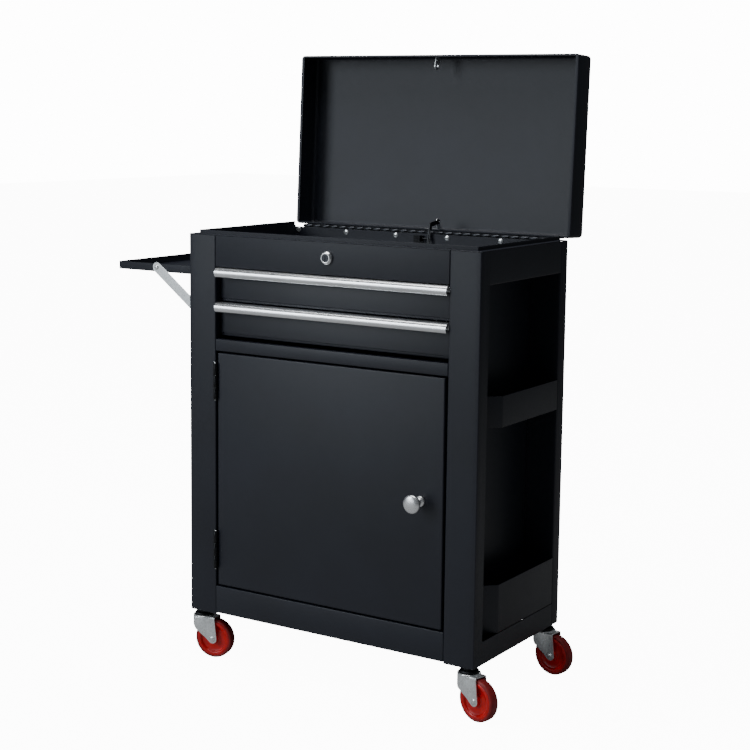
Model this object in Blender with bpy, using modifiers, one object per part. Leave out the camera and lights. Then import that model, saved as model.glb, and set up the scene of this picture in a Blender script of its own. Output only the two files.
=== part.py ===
"""Rolling tool chest: a sheet-metal cabinet on four casters.

The chest stands with its hinged lid open and its side tray folded out. Two drawers and a door close the
front, and two open bins are fixed in the recess of the right side.

All sizes are millimetres in the cabinet's own frame: X runs right from the left side, Y runs back from the
front of the columns, Z runs up from the columns' feet. The root empty moves the whole chest so that the
world's origin is at the bottom centre of its box.
"""

import math

import bmesh
import bpy
from mathutils import Vector

MM = 0.001

# Cabinet
WIDTH = 610.0
DEPTH = 320.0
HEIGHT = 710.0
SHEET = 1.2
GAP = 0.3
COLUMN_WIDTH = 60.0
COLUMN_RETURN = 29.0
POST_FRONT = 293.5
POST_BACK_RETURN = 25.0
LEDGE_TOP = HEIGHT
LEDGE_WIDTH = 13.0
RIM_TOP = 716.5
FRAME_TOP = LEDGE_TOP - SHEET - GAP
BAND_BOTTOM = 652.0
TILL_BOTTOM = 655.0
TILL_BACK = 317.0
TILL_BACK_TOP = 706.0
BACK_PANEL_FRONT = 317.3
BASE_BAND_TOP = 42.0
KICK_BOTTOM = 3.0
KICK_TOP = 55.0
RAIL_BOTTOM = 498.0
RAIL_TOP = 519.5
SHELF_HEIGHT = 275.0

# Bins in the right recess
BIN_CORNER = 54.7
BIN_FRONT = COLUMN_RETURN + GAP
MIDDLE_BIN = (404.0, 459.0)
LOWER_BIN = (BASE_BAND_TOP + GAP, 129.0)

# Drawers
DRAWER_LEFT = 62.0
DRAWER_RIGHT = 548.0
DRAWER_FACE = 13.5
DRAWER_FACE_DEPTH = 12.0
DRAWER_TOPS = (650.5, 587.0)
DRAWER_LIPS = (588.8, 525.0)
DRAWER_BOX_LEFT = 73.0
DRAWER_BOX_BACK = 306.0
DRAWER_BOX_HEIGHT = 46.0
PULL_HEIGHT = 18.5
PULL_REACH = 20.5
PULL_WALL = 1.6

# Door
DOOR_LEFT = 65.0
DOOR_RIGHT = 545.0
DOOR_BOTTOM = 58.5
DOOR_TOP = 494.5
DOOR_DEPTH = 18.0
DOOR_AXIS = (62.3, -4.0)
DOOR_HINGES = {"upper": (408.0, 476.0), "lower": (90.0, 161.0)}
DOOR_KNUCKLE_RADIUS = 3.7
KNOB = (500.0, 278.0)

# Lock
LOCK = (305.0, 682.0)
LOCK_BODY_RADIUS = 9.0
LOCK_BORE_RADIUS = 6.5
CAM_FRONT = 15.6
CAM_THICKNESS = 1.6
CAM_REACH = 42.5
CAM_LAG_DEG = 13.0

# Lid, drawn closed and turned open about its hinge
LID_AXIS = (330.5, 707.4)
LID_OPEN_DEG = 92.8
LID_SIDE_INSET = 3.0
LID_FRONT = -3.5
LID_BACK = 326.6
LID_MOUTH = 710.4
LID_HEIGHT = 55.0
LID_BEND = 10.0
LID_SIDE_HEM = 8.0
LID_FRONT_HEM = 5.0
LID_KNUCKLE_RADIUS = 3.4
LID_PIN_RADIUS = 1.4
LID_KNUCKLE_PITCH = 40.0
LID_HINGE_ENDS = (25.0, 585.0)
LID_LEAF = 1.2

# Lid stay
STAY_LEFT = 325.0
STAY_THICKNESS = 2.0
STAY_HALF_WIDTH = 4.0
STAY_PIVOT = (345.0, 728.0)
STAY_ELBOW = (315.0, 724.0)
STAY_END = (305.0, 682.0)

# Folding side tray
TRAY_AXIS = (0.0, 648.0)
TRAY_REACH = 198.0
TRAY_TOP = 645.0
TRAY_DEPTH = 15.0
TRAY_FRONT = 31.5
TRAY_BACK = 291.0
TRAY_HINGE_ENDS = (61.0, 261.0)
TRAY_KNUCKLES = 5
BRACE_RIVET = (-103.0, 638.5)
BRACE_LENGTH = 138.0
BRACE_SLOPE_DEG = 37.0
BRACE_HALF_WIDTH = 9.5
BRACE_THICKNESS = 1.6

# Casters
CASTER_INSET = 18.0
WHEEL_RADIUS = 37.5
WHEEL_HALF_WIDTH = 10.0
CASTER_HEIGHT = 92.0
CASTER_TRAIL = 23.0
CASTER_YAW_DEG = {"front_left": 12.0, "front_right": -13.0, "back_left": 6.0, "back_right": -8.0}
CHEEK_INNER = 12.0
CHEEK_THICKNESS = 2.0
CROWN_TOP = -12.0
CROWN_BOTTOM = -15.5
CROWN_REACH = 26.0
AXLE_RADIUS = 3.5

PAINT = ("paint", (0.022, 0.025, 0.032), 0.42, 0.0)
STEEL = ("steel", (0.52, 0.53, 0.55), 0.32, 1.0)
DARK_STEEL = ("dark_steel", (0.02, 0.02, 0.022), 0.45, 0.6)
CHROME = ("chrome", (0.72, 0.73, 0.75), 0.12, 1.0)
ZINC = ("zinc", (0.48, 0.50, 0.52), 0.35, 1.0)
RED = ("red_wheel", (0.40, 0.012, 0.014), 0.38, 0.0)
PULL_METAL = ("pull_metal", (0.60, 0.62, 0.65), 0.22, 1.0)

CUBE_FACES = {
    "-x": (-1, 0, 0),
    "+x": (1, 0, 0),
    "-y": (0, -1, 0),
    "+y": (0, 1, 0),
    "-z": (0, 0, -1),
    "+z": (0, 0, 1),
}
# Euler angles that turn a shape drawn up the local Z axis to lie along each axis.
ALONG_X = (math.radians(90), 0.0, math.radians(90))
ALONG_Y = (math.radians(90), 0.0, 0.0)
ALONG_Z = (0.0, 0.0, 0.0)


# ---------------------------------------------------------------- scene and placing


def clear_scene():
    for obj in list(bpy.data.objects):
        bpy.data.objects.remove(obj, do_unlink=True)


def new_collection(name):
    collection = bpy.data.collections.new(name)
    bpy.context.scene.collection.children.link(collection)
    return collection


def part_material(node, finish):
    """Each part has its own material, made from a named finish."""
    kind, colour, roughness, metallic = finish
    material = bpy.data.materials.new(f"{kind}_{node}")
    material.use_nodes = True
    shader = material.node_tree.nodes["Principled BSDF"]
    shader.inputs["Base Color"].default_value = (*colour, 1.0)
    shader.inputs["Roughness"].default_value = roughness
    shader.inputs["Metallic"].default_value = metallic
    return material


def link(name, data):
    obj = bpy.data.objects.new(name, data)
    bpy.data.collections["rolling_tool_chest"].objects.link(obj)
    return obj


def joint_empty(name, at, turn_deg=(0.0, 0.0, 0.0), parent=None):
    """An empty on a joint's axis. Its place is given in the cabinet's frame, or in its parent joint's."""
    empty = link(name, None)
    empty.location = Vector(at) * MM
    empty.rotation_euler = [math.radians(angle) for angle in turn_deg]
    empty.parent = parent or bpy.data.objects["chest"]
    return empty


def place(obj, finish, joint=None):
    """Gives a finished shape its material and hangs it on its joint, or on the chest itself."""
    obj.data.materials.clear()
    obj.data.materials.append(part_material(obj.name, finish))
    if joint is None:
        obj.parent = bpy.data.objects["chest"]
        return obj
    obj.parent = joint
    obj.location -= joint.location
    return obj


# ---------------------------------------------------------------- shapes


def mesh_object(name, bm, at=(0.0, 0.0, 0.0)):
    mesh = bpy.data.meshes.new(name)
    bm.to_mesh(mesh)
    bm.free()
    obj = link(name, mesh)
    obj.location = Vector(at) * MM
    return obj


def cube(low, high):
    """A bmesh cube of the box's size, centred on its own origin, and that box's centre."""
    bm = bmesh.new()
    bmesh.ops.create_cube(bm, size=1.0)
    size = Vector(high) - Vector(low)
    bmesh.ops.scale(bm, vec=size * MM, verts=bm.verts)
    return bm, (Vector(high) + Vector(low)) / 2


def faces_towards(bm, sides):
    wanted = [Vector(CUBE_FACES[side]) for side in sides]
    return [face for face in bm.faces if any(face.normal.dot(normal) > 0.99 for normal in wanted)]


def solid_box(name, low, high):
    bm, centre = cube(low, high)
    return mesh_object(name, bm, centre)


def thicken(obj, thickness=SHEET):
    """Gives an open surface its sheet thickness on the inner side."""
    solidify = obj.modifiers.new("sheet", "SOLIDIFY")
    solidify.thickness = thickness * MM
    solidify.offset = -1.0
    solidify.use_even_offset = True
    return obj


def sheet_box(name, low, high, open_sides, thickness=SHEET):
    """A folded sheet: a box without the sides that are open."""
    bm, centre = cube(low, high)
    bm.normal_update()
    bmesh.ops.delete(bm, geom=faces_towards(bm, open_sides), context="FACES")
    return thicken(mesh_object(name, bm, centre), thickness)


def realised(obj):
    """Swaps the object for a plain mesh of the same name, with its modifiers or curve made real."""
    bpy.context.view_layer.update()
    graph = bpy.context.evaluated_depsgraph_get()
    mesh = bpy.data.meshes.new_from_object(obj.evaluated_get(graph))
    bm = bmesh.new()
    bm.from_mesh(mesh)
    bmesh.ops.remove_doubles(bm, verts=bm.verts, dist=0.000001)
    bm.to_mesh(mesh)
    bm.free()
    name = obj.name
    matrix = obj.matrix_world.copy()
    bpy.data.objects.remove(obj, do_unlink=True)
    made = link(name, mesh)
    made.matrix_world = matrix
    return made


def boolean(obj, tools, operation):
    base = realised(obj)
    for tool in tools:
        if tool.type == "CURVE" or tool.modifiers:
            tool = realised(tool)
        modifier = base.modifiers.new(operation.lower(), "BOOLEAN")
        modifier.operation = operation
        modifier.solver = "EXACT"
        modifier.object = tool
        base = realised(base)
        bpy.data.objects.remove(tool, do_unlink=True)
    return base


def joined(obj, *tools):
    return boolean(obj, tools, "UNION")


def cut(obj, *tools):
    return boolean(obj, tools, "DIFFERENCE")


def prism(name, outline, start, end, turn=ALONG_Z):
    """A flat outline given thickness from start to end along the axis that turn names."""
    curve = bpy.data.curves.new(name, "CURVE")
    curve.dimensions = "2D"
    curve.fill_mode = "BOTH"
    curve.extrude = abs(end - start) / 2 * MM
    spline = curve.splines.new("POLY")
    spline.points.add(len(outline) - 1)
    for point, (u, v) in zip(spline.points, outline):
        point.co = (u * MM, v * MM, 0.0, 1.0)
    spline.use_cyclic_u = True
    obj = link(name, curve)
    obj.rotation_euler = turn
    middle = (start + end) / 2 * MM
    axis = {ALONG_X: (1, 0, 0), ALONG_Y: (0, 1, 0), ALONG_Z: (0, 0, 1)}[turn]
    obj.location = Vector(axis) * middle
    return obj


def turned(name, profile, at, steps, turn=ALONG_Z, ring=False):
    """A turned shape: radius and height pairs down the outer side, spun about the axis that turn names."""
    mesh = bpy.data.meshes.new(name)
    points = [(radius * MM, 0.0, height * MM) for radius, height in profile]
    edges = [(index, index + 1) for index in range(len(points) - 1)]
    if ring:
        edges.append((len(points) - 1, 0))
    mesh.from_pydata(points, edges, [])
    obj = link(name, mesh)
    obj.rotation_euler = turn
    obj.location = Vector(at) * MM
    screw = obj.modifiers.new("turn", "SCREW")
    screw.steps = steps
    screw.render_steps = steps
    screw.use_merge_vertices = True
    screw.merge_threshold = 0.00001
    made = realised(obj)
    made.data.shade_smooth()
    made.data.set_sharp_from_angle(angle=math.radians(35))
    return made


def cylinder(name, radius, low, high, at, steps=16, turn=ALONG_Z):
    return turned(name, [(0.0, high), (radius, high), (radius, low), (0.0, low)], at, steps, turn)


def rod_along_x(name, radius, left, right, y, z, steps=12):
    """A round rod along X. Its profile runs up the local Z axis, which ALONG_X lays along X."""
    return cylinder(name, radius, left, right, (0.0, y, z), steps, ALONG_X)


def arc(centre, radius, start_deg, end_deg, steps):
    """Points along an arc, its angles measured from the first axis towards the second."""
    angles = [math.radians(start_deg + (end_deg - start_deg) * step / steps) for step in range(steps + 1)]
    return [(centre[0] + radius * math.cos(a), centre[1] + radius * math.sin(a)) for a in angles]


def rounded_bar(start, end, half_width, steps=6):
    """The outline of a flat bar with round ends, from one end's centre to the other's."""
    slope = math.degrees(math.atan2(end[1] - start[1], end[0] - start[0]))
    far_end = arc(end, half_width, slope - 90, slope + 90, steps)
    return far_end + arc(start, half_width, slope + 90, slope + 270, steps)


def mirrored(outline, width=WIDTH):
    return [(width - x, y) for x, y in reversed(outline)]


# ---------------------------------------------------------------- cabinet


def till_clearance(name):
    """The room that the till liner takes out of the columns and posts."""
    side = LEDGE_WIDTH - 2 * GAP
    return solid_box(name, (side, side, BAND_BOTTOM - GAP), (WIDTH - side, DEPTH + 20, HEIGHT + 20))


def stud_hole(x, y):
    return cylinder("stud_hole", 5.6, -5.0, 9.0, (x, y, 0.0))


def columns():
    for side, low_x in (("left", 0.0), ("right", WIDTH - COLUMN_WIDTH)):
        stud_x = CASTER_INSET if side == "left" else WIDTH - CASTER_INSET
        column = sheet_box(
            f"column_{side}",
            (low_x, 0.0, 0.0),
            (low_x + COLUMN_WIDTH, COLUMN_RETURN, FRAME_TOP),
            ("+y", "+z"),
        )
        column = cut(column, till_clearance("till_clearance"), stud_hole(stud_x, CASTER_INSET))
        place(column, PAINT)


def rear_posts():
    """Each post is a folded channel with its face to the front and a short return along the back."""
    corner = (4.0, DEPTH - 4.0)
    outline = [
        (0.0, POST_FRONT),
        (COLUMN_WIDTH, POST_FRONT),
        (COLUMN_WIDTH, POST_FRONT + SHEET),
        (SHEET, POST_FRONT + SHEET),
        *arc(corner, 4.0 - SHEET, 180, 90, 3),
        (POST_BACK_RETURN, DEPTH - SHEET),
        (POST_BACK_RETURN, DEPTH),
        *arc(corner, 4.0, 90, 180, 3),
    ]
    lap = SHEET / 2
    foot_back = BACK_PANEL_FRONT - GAP
    for side, shape, foot_x, stud_x in (
        ("left", outline, lap, CASTER_INSET),
        ("right", mirrored(outline), WIDTH - COLUMN_WIDTH + lap, WIDTH - CASTER_INSET),
    ):
        post = prism(f"rear_post_{side}", shape, 0.0, FRAME_TOP)
        foot_high = (foot_x + COLUMN_WIDTH - 2 * lap, foot_back, 2 * SHEET)
        post = joined(post, solid_box("post_foot", (foot_x, POST_FRONT + lap, SHEET), foot_high))
        post = cut(post, till_clearance("till_clearance"), stud_hole(stud_x, DEPTH - CASTER_INSET))
        place(post, PAINT)


def panels():
    top = BAND_BOTTOM - 2 * GAP
    inner = COLUMN_WIDTH + GAP
    front = COLUMN_RETURN + GAP
    low_z = SHEET + GAP
    place(solid_box("side_panel_left", (inner, front, low_z), (inner + SHEET, TILL_BACK, top)), PAINT)
    right_low = (WIDTH - inner - SHEET, front, low_z)
    place(solid_box("side_panel_right", right_low, (WIDTH - inner, TILL_BACK, top)), PAINT)
    back_low = (4.5, BACK_PANEL_FRONT, 2 * SHEET + GAP)
    back_high = (WIDTH - 4.5, BACK_PANEL_FRONT + SHEET, TILL_BACK_TOP)
    place(solid_box("back_panel", back_low, back_high), PAINT)
    base_low = (0.0, COLUMN_RETURN + GAP, 0.0)
    base_high = (WIDTH, POST_FRONT - GAP, BASE_BAND_TOP)
    place(sheet_box("base_pan", base_low, base_high, ("-y", "+y", "+z")), PAINT)
    front_left = COLUMN_WIDTH + GAP
    front_right = WIDTH - COLUMN_WIDTH - GAP
    open_sides = ("-x", "+x", "+y")
    place(sheet_box("kick_panel", (front_left, 0.0, KICK_BOTTOM), (front_right, 14.0, KICK_TOP), open_sides), PAINT)
    place(sheet_box("mid_rail", (front_left, 0.0, RAIL_BOTTOM), (front_right, 12.0, RAIL_TOP), open_sides), PAINT)
    floor_low = (inner + SHEET + GAP, 15.0, KICK_TOP - 20.0)
    floor_high = (WIDTH - inner - SHEET - GAP, BACK_PANEL_FRONT - GAP, KICK_TOP)
    place(sheet_box("floor_plate", floor_low, floor_high, ("-z",)), PAINT)
    shelf_low = (inner + SHEET + GAP, 40.0, SHELF_HEIGHT - 14.0)
    shelf_high = (WIDTH - inner - SHEET - GAP, BACK_PANEL_FRONT - GAP, SHELF_HEIGHT)
    place(sheet_box("shelf", shelf_low, shelf_high, ("-z",)), PAINT)


def top_bands():
    front_left = COLUMN_WIDTH + GAP
    front_right = WIDTH - COLUMN_WIDTH - GAP
    front = sheet_box(
        "top_front_panel",
        (front_left, 0.0, BAND_BOTTOM),
        (front_right, 12.0, FRAME_TOP),
        ("-x", "+x", "+y", "+z"),
    )
    front = cut(front, lock_hole())
    place(front, PAINT)
    low_y = COLUMN_RETURN + GAP
    high_y = POST_FRONT - GAP
    for side, low_x, high_x, open_side in (
        ("left", 0.0, COLUMN_WIDTH - GAP, "+x"),
        ("right", WIDTH - COLUMN_WIDTH + GAP, WIDTH, "-x"),
    ):
        band = sheet_box(
            f"side_band_{side}",
            (low_x, low_y, BAND_BOTTOM),
            (high_x, high_y, FRAME_TOP),
            (open_side, "-y", "+y", "+z"),
        )
        place(band, PAINT)


def lock_hole():
    return cylinder("lock_hole", LOCK_BODY_RADIUS + GAP, -20.0, 8.0, (LOCK[0], 0.0, LOCK[1]), 24, ALONG_Y)


def till_liner():
    """The till's floor and walls, which rise as the rim, with the ledge that the lid closes on."""
    inset = LEDGE_WIDTH
    liner = sheet_box("till_liner", (inset, inset, TILL_BOTTOM), (WIDTH - inset, TILL_BACK, RIM_TOP), ("+z",))
    lap = inset + SHEET / 2
    ledge_outline = [
        (0.0, 0.0),
        (WIDTH, 0.0),
        (WIDTH, TILL_BACK - 1.0),
        (WIDTH - lap, TILL_BACK - 1.0),
        (WIDTH - lap, lap),
        (lap, lap),
        (lap, TILL_BACK - 1.0),
        (0.0, TILL_BACK - 1.0),
    ]
    ledge = prism("ledge", ledge_outline, LEDGE_TOP - SHEET, LEDGE_TOP)
    liner = joined(liner, ledge)
    low = (-5.0, TILL_BACK - 3.0, TILL_BACK_TOP)
    back_notch = solid_box("back_notch", low, (WIDTH + 5.0, DEPTH, HEIGHT + 20))
    liner = cut(liner, back_notch, lock_hole())
    place(liner, PAINT)


def bins():
    """Open bins in the right recess. Their front corner is cut off at 45 degrees."""
    inner_x = WIDTH - COLUMN_WIDTH + GAP
    corner_y = BIN_FRONT + BIN_CORNER
    outline = [
        (inner_x, BIN_FRONT),
        (WIDTH - BIN_CORNER, BIN_FRONT),
        (WIDTH, corner_y),
        (WIDTH, POST_FRONT - GAP),
        (inner_x, POST_FRONT - GAP),
    ]
    for name, (low, high) in (("bin_middle", MIDDLE_BIN), ("bin_lower", LOWER_BIN)):
        bm = bmesh.new()
        base = bm.faces.new([bm.verts.new((x * MM, y * MM, low * MM)) for x, y in outline])
        base.normal_update()
        raised = bmesh.ops.extrude_face_region(bm, geom=[base], use_keep_orig=True)
        top = [element for element in raised["geom"] if isinstance(element, bmesh.types.BMVert)]
        bmesh.ops.translate(bm, vec=(0.0, 0.0, (high - low) * MM), verts=top)
        bmesh.ops.recalc_face_normals(bm, faces=bm.faces)
        bm.normal_update()
        bmesh.ops.delete(bm, geom=faces_towards(bm, ("+z",)), context="FACES")
        place(thicken(mesh_object(name, bm)), PAINT)


# ---------------------------------------------------------------- drawers


def pull_outline(top):
    """A curved bar, open below and behind: a back leg, a flat top and a rounded nose that ends in a lip."""
    back = DRAWER_FACE - GAP
    nose_centre = (back - PULL_REACH + 9.5, top - 9.5)
    outer = arc(nose_centre, 9.5, 90, 235, 8)
    inner = arc(nose_centre, 9.5 - PULL_WALL, 235, 90, 8)
    return [
        (back, top - PULL_HEIGHT + 6.0),
        (back, top),
        *outer,
        *inner,
        (back - PULL_WALL, top - PULL_WALL),
        (back - PULL_WALL, top - PULL_HEIGHT + 6.0),
    ]


def drawers():
    for number, (top, lip) in enumerate(zip(DRAWER_TOPS, DRAWER_LIPS), start=1):
        joint = joint_empty(f"drawer_{number}_slide", (WIDTH / 2, DRAWER_FACE, lip))
        face = sheet_box(
            f"drawer_{number}_front",
            (DRAWER_LEFT, DRAWER_FACE, lip),
            (DRAWER_RIGHT, DRAWER_FACE + DRAWER_FACE_DEPTH, top - 0.3),
            ("+y",),
        )
        place(face, PAINT, joint)
        pull = prism(f"drawer_{number}_pull", pull_outline(top), DRAWER_LEFT, DRAWER_RIGHT, ALONG_X)
        place(pull, PULL_METAL, joint)
        box = sheet_box(
            f"drawer_{number}_box",
            (DRAWER_BOX_LEFT, DRAWER_FACE + DRAWER_FACE_DEPTH + GAP, lip + 5.0),
            (WIDTH - DRAWER_BOX_LEFT, DRAWER_BOX_BACK, lip + 5.0 + DRAWER_BOX_HEIGHT),
            ("+z",),
        )
        place(box, PAINT, joint)


def drawer_rails():
    """On each side, one stamped plate carries both drawers' runners."""
    plate_inner = COLUMN_WIDTH + GAP + SHEET + GAP
    runner_edge = DRAWER_BOX_LEFT - 1.0
    for side in ("left", "right"):
        spans = [((plate_inner, 30.0, 527.0), (plate_inner + SHEET, 306.0, 645.0))]
        for lip in DRAWER_LIPS:
            spans.append(((plate_inner + SHEET / 2, 30.0, lip + 20.0), (runner_edge, 306.0, lip + 34.0)))
        boxes = []
        for low, high in spans:
            if side == "right":
                low, high = (WIDTH - high[0], *low[1:]), (WIDTH - low[0], *high[1:])
            boxes.append(solid_box(f"drawer_rails_{side}" if not boxes else "runner", low, high))
        place(joined(*boxes), STEEL)


# ---------------------------------------------------------------- door


def door():
    joint = joint_empty("door_swing", (*DOOR_AXIS, (DOOR_BOTTOM + DOOR_TOP) / 2))
    low = (DOOR_LEFT, 0.0, DOOR_BOTTOM)
    panel = sheet_box("door_panel", low, (DOOR_RIGHT, DOOR_DEPTH, DOOR_TOP), ("+y",))
    panel = cut(panel, cylinder("knob_hole", 3.0, -8.0, 8.0, (KNOB[0], 0.0, KNOB[1]), 16, ALONG_Y))
    place(panel, PAINT, joint)
    angles = [math.radians(degrees) for degrees in (90, 60, 35, 12)]
    dome = [(16.0 * math.cos(angle), 29.5 + 4.5 * math.sin(angle)) for angle in angles]
    profile = [
        (0.0, 34.0),
        *dome[1:],
        (16.0, 25.0),
        (13.0, 21.0),
        (5.0, 17.0),
        (4.5, 6.0),
        (9.5, 3.5),
        (9.5, GAP),
        (2.6, GAP),
        (2.6, -8.0),
        (0.0, -8.0),
    ]
    place(turned("door_knob", profile, (KNOB[0], 0.0, KNOB[1]), 28, ALONG_Y), CHROME, joint)
    for which, (low, high) in DOOR_HINGES.items():
        door_hinge(which, low, high, joint)


def door_hinge(which, low, high, joint):
    """The frame leaf carries two knuckles and the pin, the door leaf the middle knuckle that turns on it."""
    x, y = DOOR_AXIS
    third = (high - low) / 3
    frame = solid_box(
        f"door_hinge_{which}_frame", (COLUMN_WIDTH + GAP, y, low), (COLUMN_WIDTH + GAP + 1.2, 1.6, high)
    )
    lower = cylinder("lower_knuckle", DOOR_KNUCKLE_RADIUS, low, low + third, (x, y, 0.0))
    upper = cylinder("upper_knuckle", DOOR_KNUCKLE_RADIUS, high - third, high, (x, y, 0.0))
    pin = cylinder("pin", 1.8, low - 1.5, high + 1.5, (x, y, 0.0))
    room_low = (x - 5.0, y - 6.0, low + third)
    room_high = (x + 5.0, y + 5.0, high - third)
    frame = cut(frame, solid_box("middle_room", room_low, room_high))
    strap = solid_box("strap", (COLUMN_WIDTH + GAP, 1.0, low), (COLUMN_WIDTH + GAP + 1.2, 1.9, high))
    place(joined(frame, strap, lower, upper, pin), DARK_STEEL)
    bottom, top = low + third + GAP, high - third - GAP
    leaf = solid_box(f"door_hinge_{which}_leaf", (DOOR_LEFT - GAP - 1.2, y, bottom), (DOOR_LEFT - GAP, 15.0, top))
    middle = cylinder("middle_knuckle", DOOR_KNUCKLE_RADIUS, bottom, top, (x, y, 0.0))
    leaf = joined(leaf, middle)
    leaf = cut(leaf, cylinder("pin_bore", 2.1, low, high, (x, y, 0.0)))
    place(leaf, DARK_STEEL, joint)


# ---------------------------------------------------------------- lock


def lock():
    x, z = LOCK
    barrel_profile = [
        (11.5, 4.5),
        (11.5, GAP),
        (LOCK_BODY_RADIUS, GAP),
        (LOCK_BODY_RADIUS, -15.0),
        (LOCK_BORE_RADIUS, -15.0),
        (LOCK_BORE_RADIUS, 7.0),
        (9.5, 7.0),
    ]
    place(turned("lock_barrel", barrel_profile, (x, 0.0, z), 24, ALONG_Y, ring=True), CHROME)
    joint = joint_empty("lock_turn", (x, 0.0, z))
    plug = cylinder("lock_plug", LOCK_BORE_RADIUS - GAP, -15.2, 6.6, (x, 0.0, z), 20, ALONG_Y)
    shank = cylinder("shank", 2.6, -19.0, -15.0, (x, 0.0, z), 12, ALONG_Y)
    keyway = solid_box("keyway", (x - 0.7, -9.0, z - 4.0), (x + 0.7, -3.5, z + 4.0))
    place(cut(joined(plug, shank), keyway), CHROME, joint)
    lag = math.radians(180 + CAM_LAG_DEG)
    tip = (x + CAM_REACH * math.cos(lag), z + CAM_REACH * math.sin(lag))
    cam = prism("lock_cam", rounded_bar((x, z), tip, 5.0), CAM_FRONT, CAM_FRONT + CAM_THICKNESS, ALONG_Y)
    prong_end = (x - CAM_REACH - 1.0, z + 3.0)
    prong = prism("prong", rounded_bar(tip, prong_end, 2.2, 4), CAM_FRONT, CAM_FRONT + CAM_THICKNESS, ALONG_Y)
    cam = joined(cam, prong)
    place(cut(cam, cylinder("cam_bore", 2.9, -30.0, 0.0, (x, 0.0, z), 12, ALONG_Y)), ZINC, joint)


# ---------------------------------------------------------------- lid


def lid_outline_sheet():
    """A cube with soft bends, open below, with a hem turned in around its mouth."""
    low = (LID_SIDE_INSET, LID_FRONT, LID_MOUTH)
    high = (WIDTH - LID_SIDE_INSET, LID_BACK, LID_MOUTH + LID_HEIGHT)
    bm, centre = cube(low, high)
    bm.normal_update()
    mouth = faces_towards(bm, ("-z",))
    bmesh.ops.inset_individual(bm, faces=mouth, thickness=LID_FRONT_HEM * MM)
    extra = (LID_SIDE_HEM - LID_FRONT_HEM) * MM
    for vertex in mouth[0].verts:
        vertex.co.x -= math.copysign(extra, vertex.co.x)
    bmesh.ops.delete(bm, geom=mouth, context="FACES_ONLY")
    half_height = (high[2] - low[2]) / 2 * MM
    bends = [edge for edge in bm.edges if max(vertex.co.z for vertex in edge.verts) > half_height * 0.9]
    bmesh.ops.bevel(
        bm,
        geom=bends,
        offset=LID_BEND * MM,
        segments=3,
        profile=0.5,
        affect="EDGES",
        material=-1,
        clamp_overlap=True,
    )
    return mesh_object("lid_shell", bm, centre)


def hinge_leaf(name, profile, first, finish, joint=None):
    """A cranked leaf with every other knuckle, bored for the pin."""
    left, right = LID_HINGE_ENDS
    y, z = LID_AXIS
    leaf = prism(name, profile, left, right, ALONG_X)
    count = round((right - left) / LID_KNUCKLE_PITCH)
    knuckles = []
    for index in range(first, count, 2):
        start = left + index * LID_KNUCKLE_PITCH + GAP
        end = left + (index + 1) * LID_KNUCKLE_PITCH - GAP
        knuckles.append(rod_along_x("knuckle", LID_KNUCKLE_RADIUS, start, end, y, z))
    rooms = []
    for index in range(1 - first, count, 2):
        start = left + index * LID_KNUCKLE_PITCH - GAP
        end = left + (index + 1) * LID_KNUCKLE_PITCH + GAP
        reach = LID_KNUCKLE_RADIUS + GAP
        rooms.append(solid_box("room", (start, y - reach, z - reach), (end, y + reach + 2.0, z + reach)))
    leaf = joined(leaf, *knuckles)
    bore = rod_along_x("bore", LID_PIN_RADIUS + 0.1, left - 5.0, right + 5.0, y, z)
    place(cut(leaf, *rooms, bore), finish, joint)


def lid_hinge(joint):
    y, z = LID_AXIS
    radius = LID_KNUCKLE_RADIUS
    wall = DEPTH - SHEET - GAP + GAP
    body_leaf = [
        (wall, 688.0),
        (wall + LID_LEAF, 688.0),
        (wall + LID_LEAF, z - radius - 0.6),
        (y, z - radius - 0.6),
        (y, z - radius + 0.8),
        (wall, z - radius + 0.8),
    ]
    hinge_leaf("lid_hinge_body_leaf", body_leaf, 0, STEEL)
    outer = LID_BACK + GAP
    lid_leaf = [
        (outer, z + radius - 0.8),
        (y, z + radius - 0.8),
        (y, z + radius + 0.6),
        (outer + LID_LEAF, z + radius + 0.6),
        (outer + LID_LEAF, LID_MOUTH + 20.0),
        (outer, LID_MOUTH + 20.0),
    ]
    hinge_leaf("lid_hinge_lid_leaf", lid_leaf, 1, STEEL, joint)
    left, right = LID_HINGE_ENDS
    place(rod_along_x("lid_hinge_pin", LID_PIN_RADIUS, left - 1.5, right + 1.5, y, z, 10), STEEL)


def lid():
    joint = joint_empty("lid_swing", (WIDTH / 2, *LID_AXIS), (-LID_OPEN_DEG, 0.0, 0.0))
    place(thicken(lid_outline_sheet()), PAINT, joint)
    lid_hinge(joint)
    hook = prism("lid_hook", hook_outline(), LOCK[0] - 1.0, LOCK[0] + 1.0, ALONG_X)
    eye = rod_along_x("eye", 4.6, LOCK[0] - 5.0, LOCK[0] + 5.0, CAM_FRONT + 0.8, LOCK[1] + CAM_REACH, 14)
    place(cut(hook, eye), ZINC, joint)
    lid_stay(joint)


def hook_outline():
    """A small plate on the inside of the lid's front wall, rounded about the eye that the cam turns into."""
    eye = (CAM_FRONT + 0.8, LOCK[1] + CAM_REACH)
    front = LID_FRONT + SHEET + GAP
    return [(front, eye[1] + 12.0), (front, eye[1] - 2.0), *arc(eye, 7.2, -120, 60, 8)]


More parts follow.
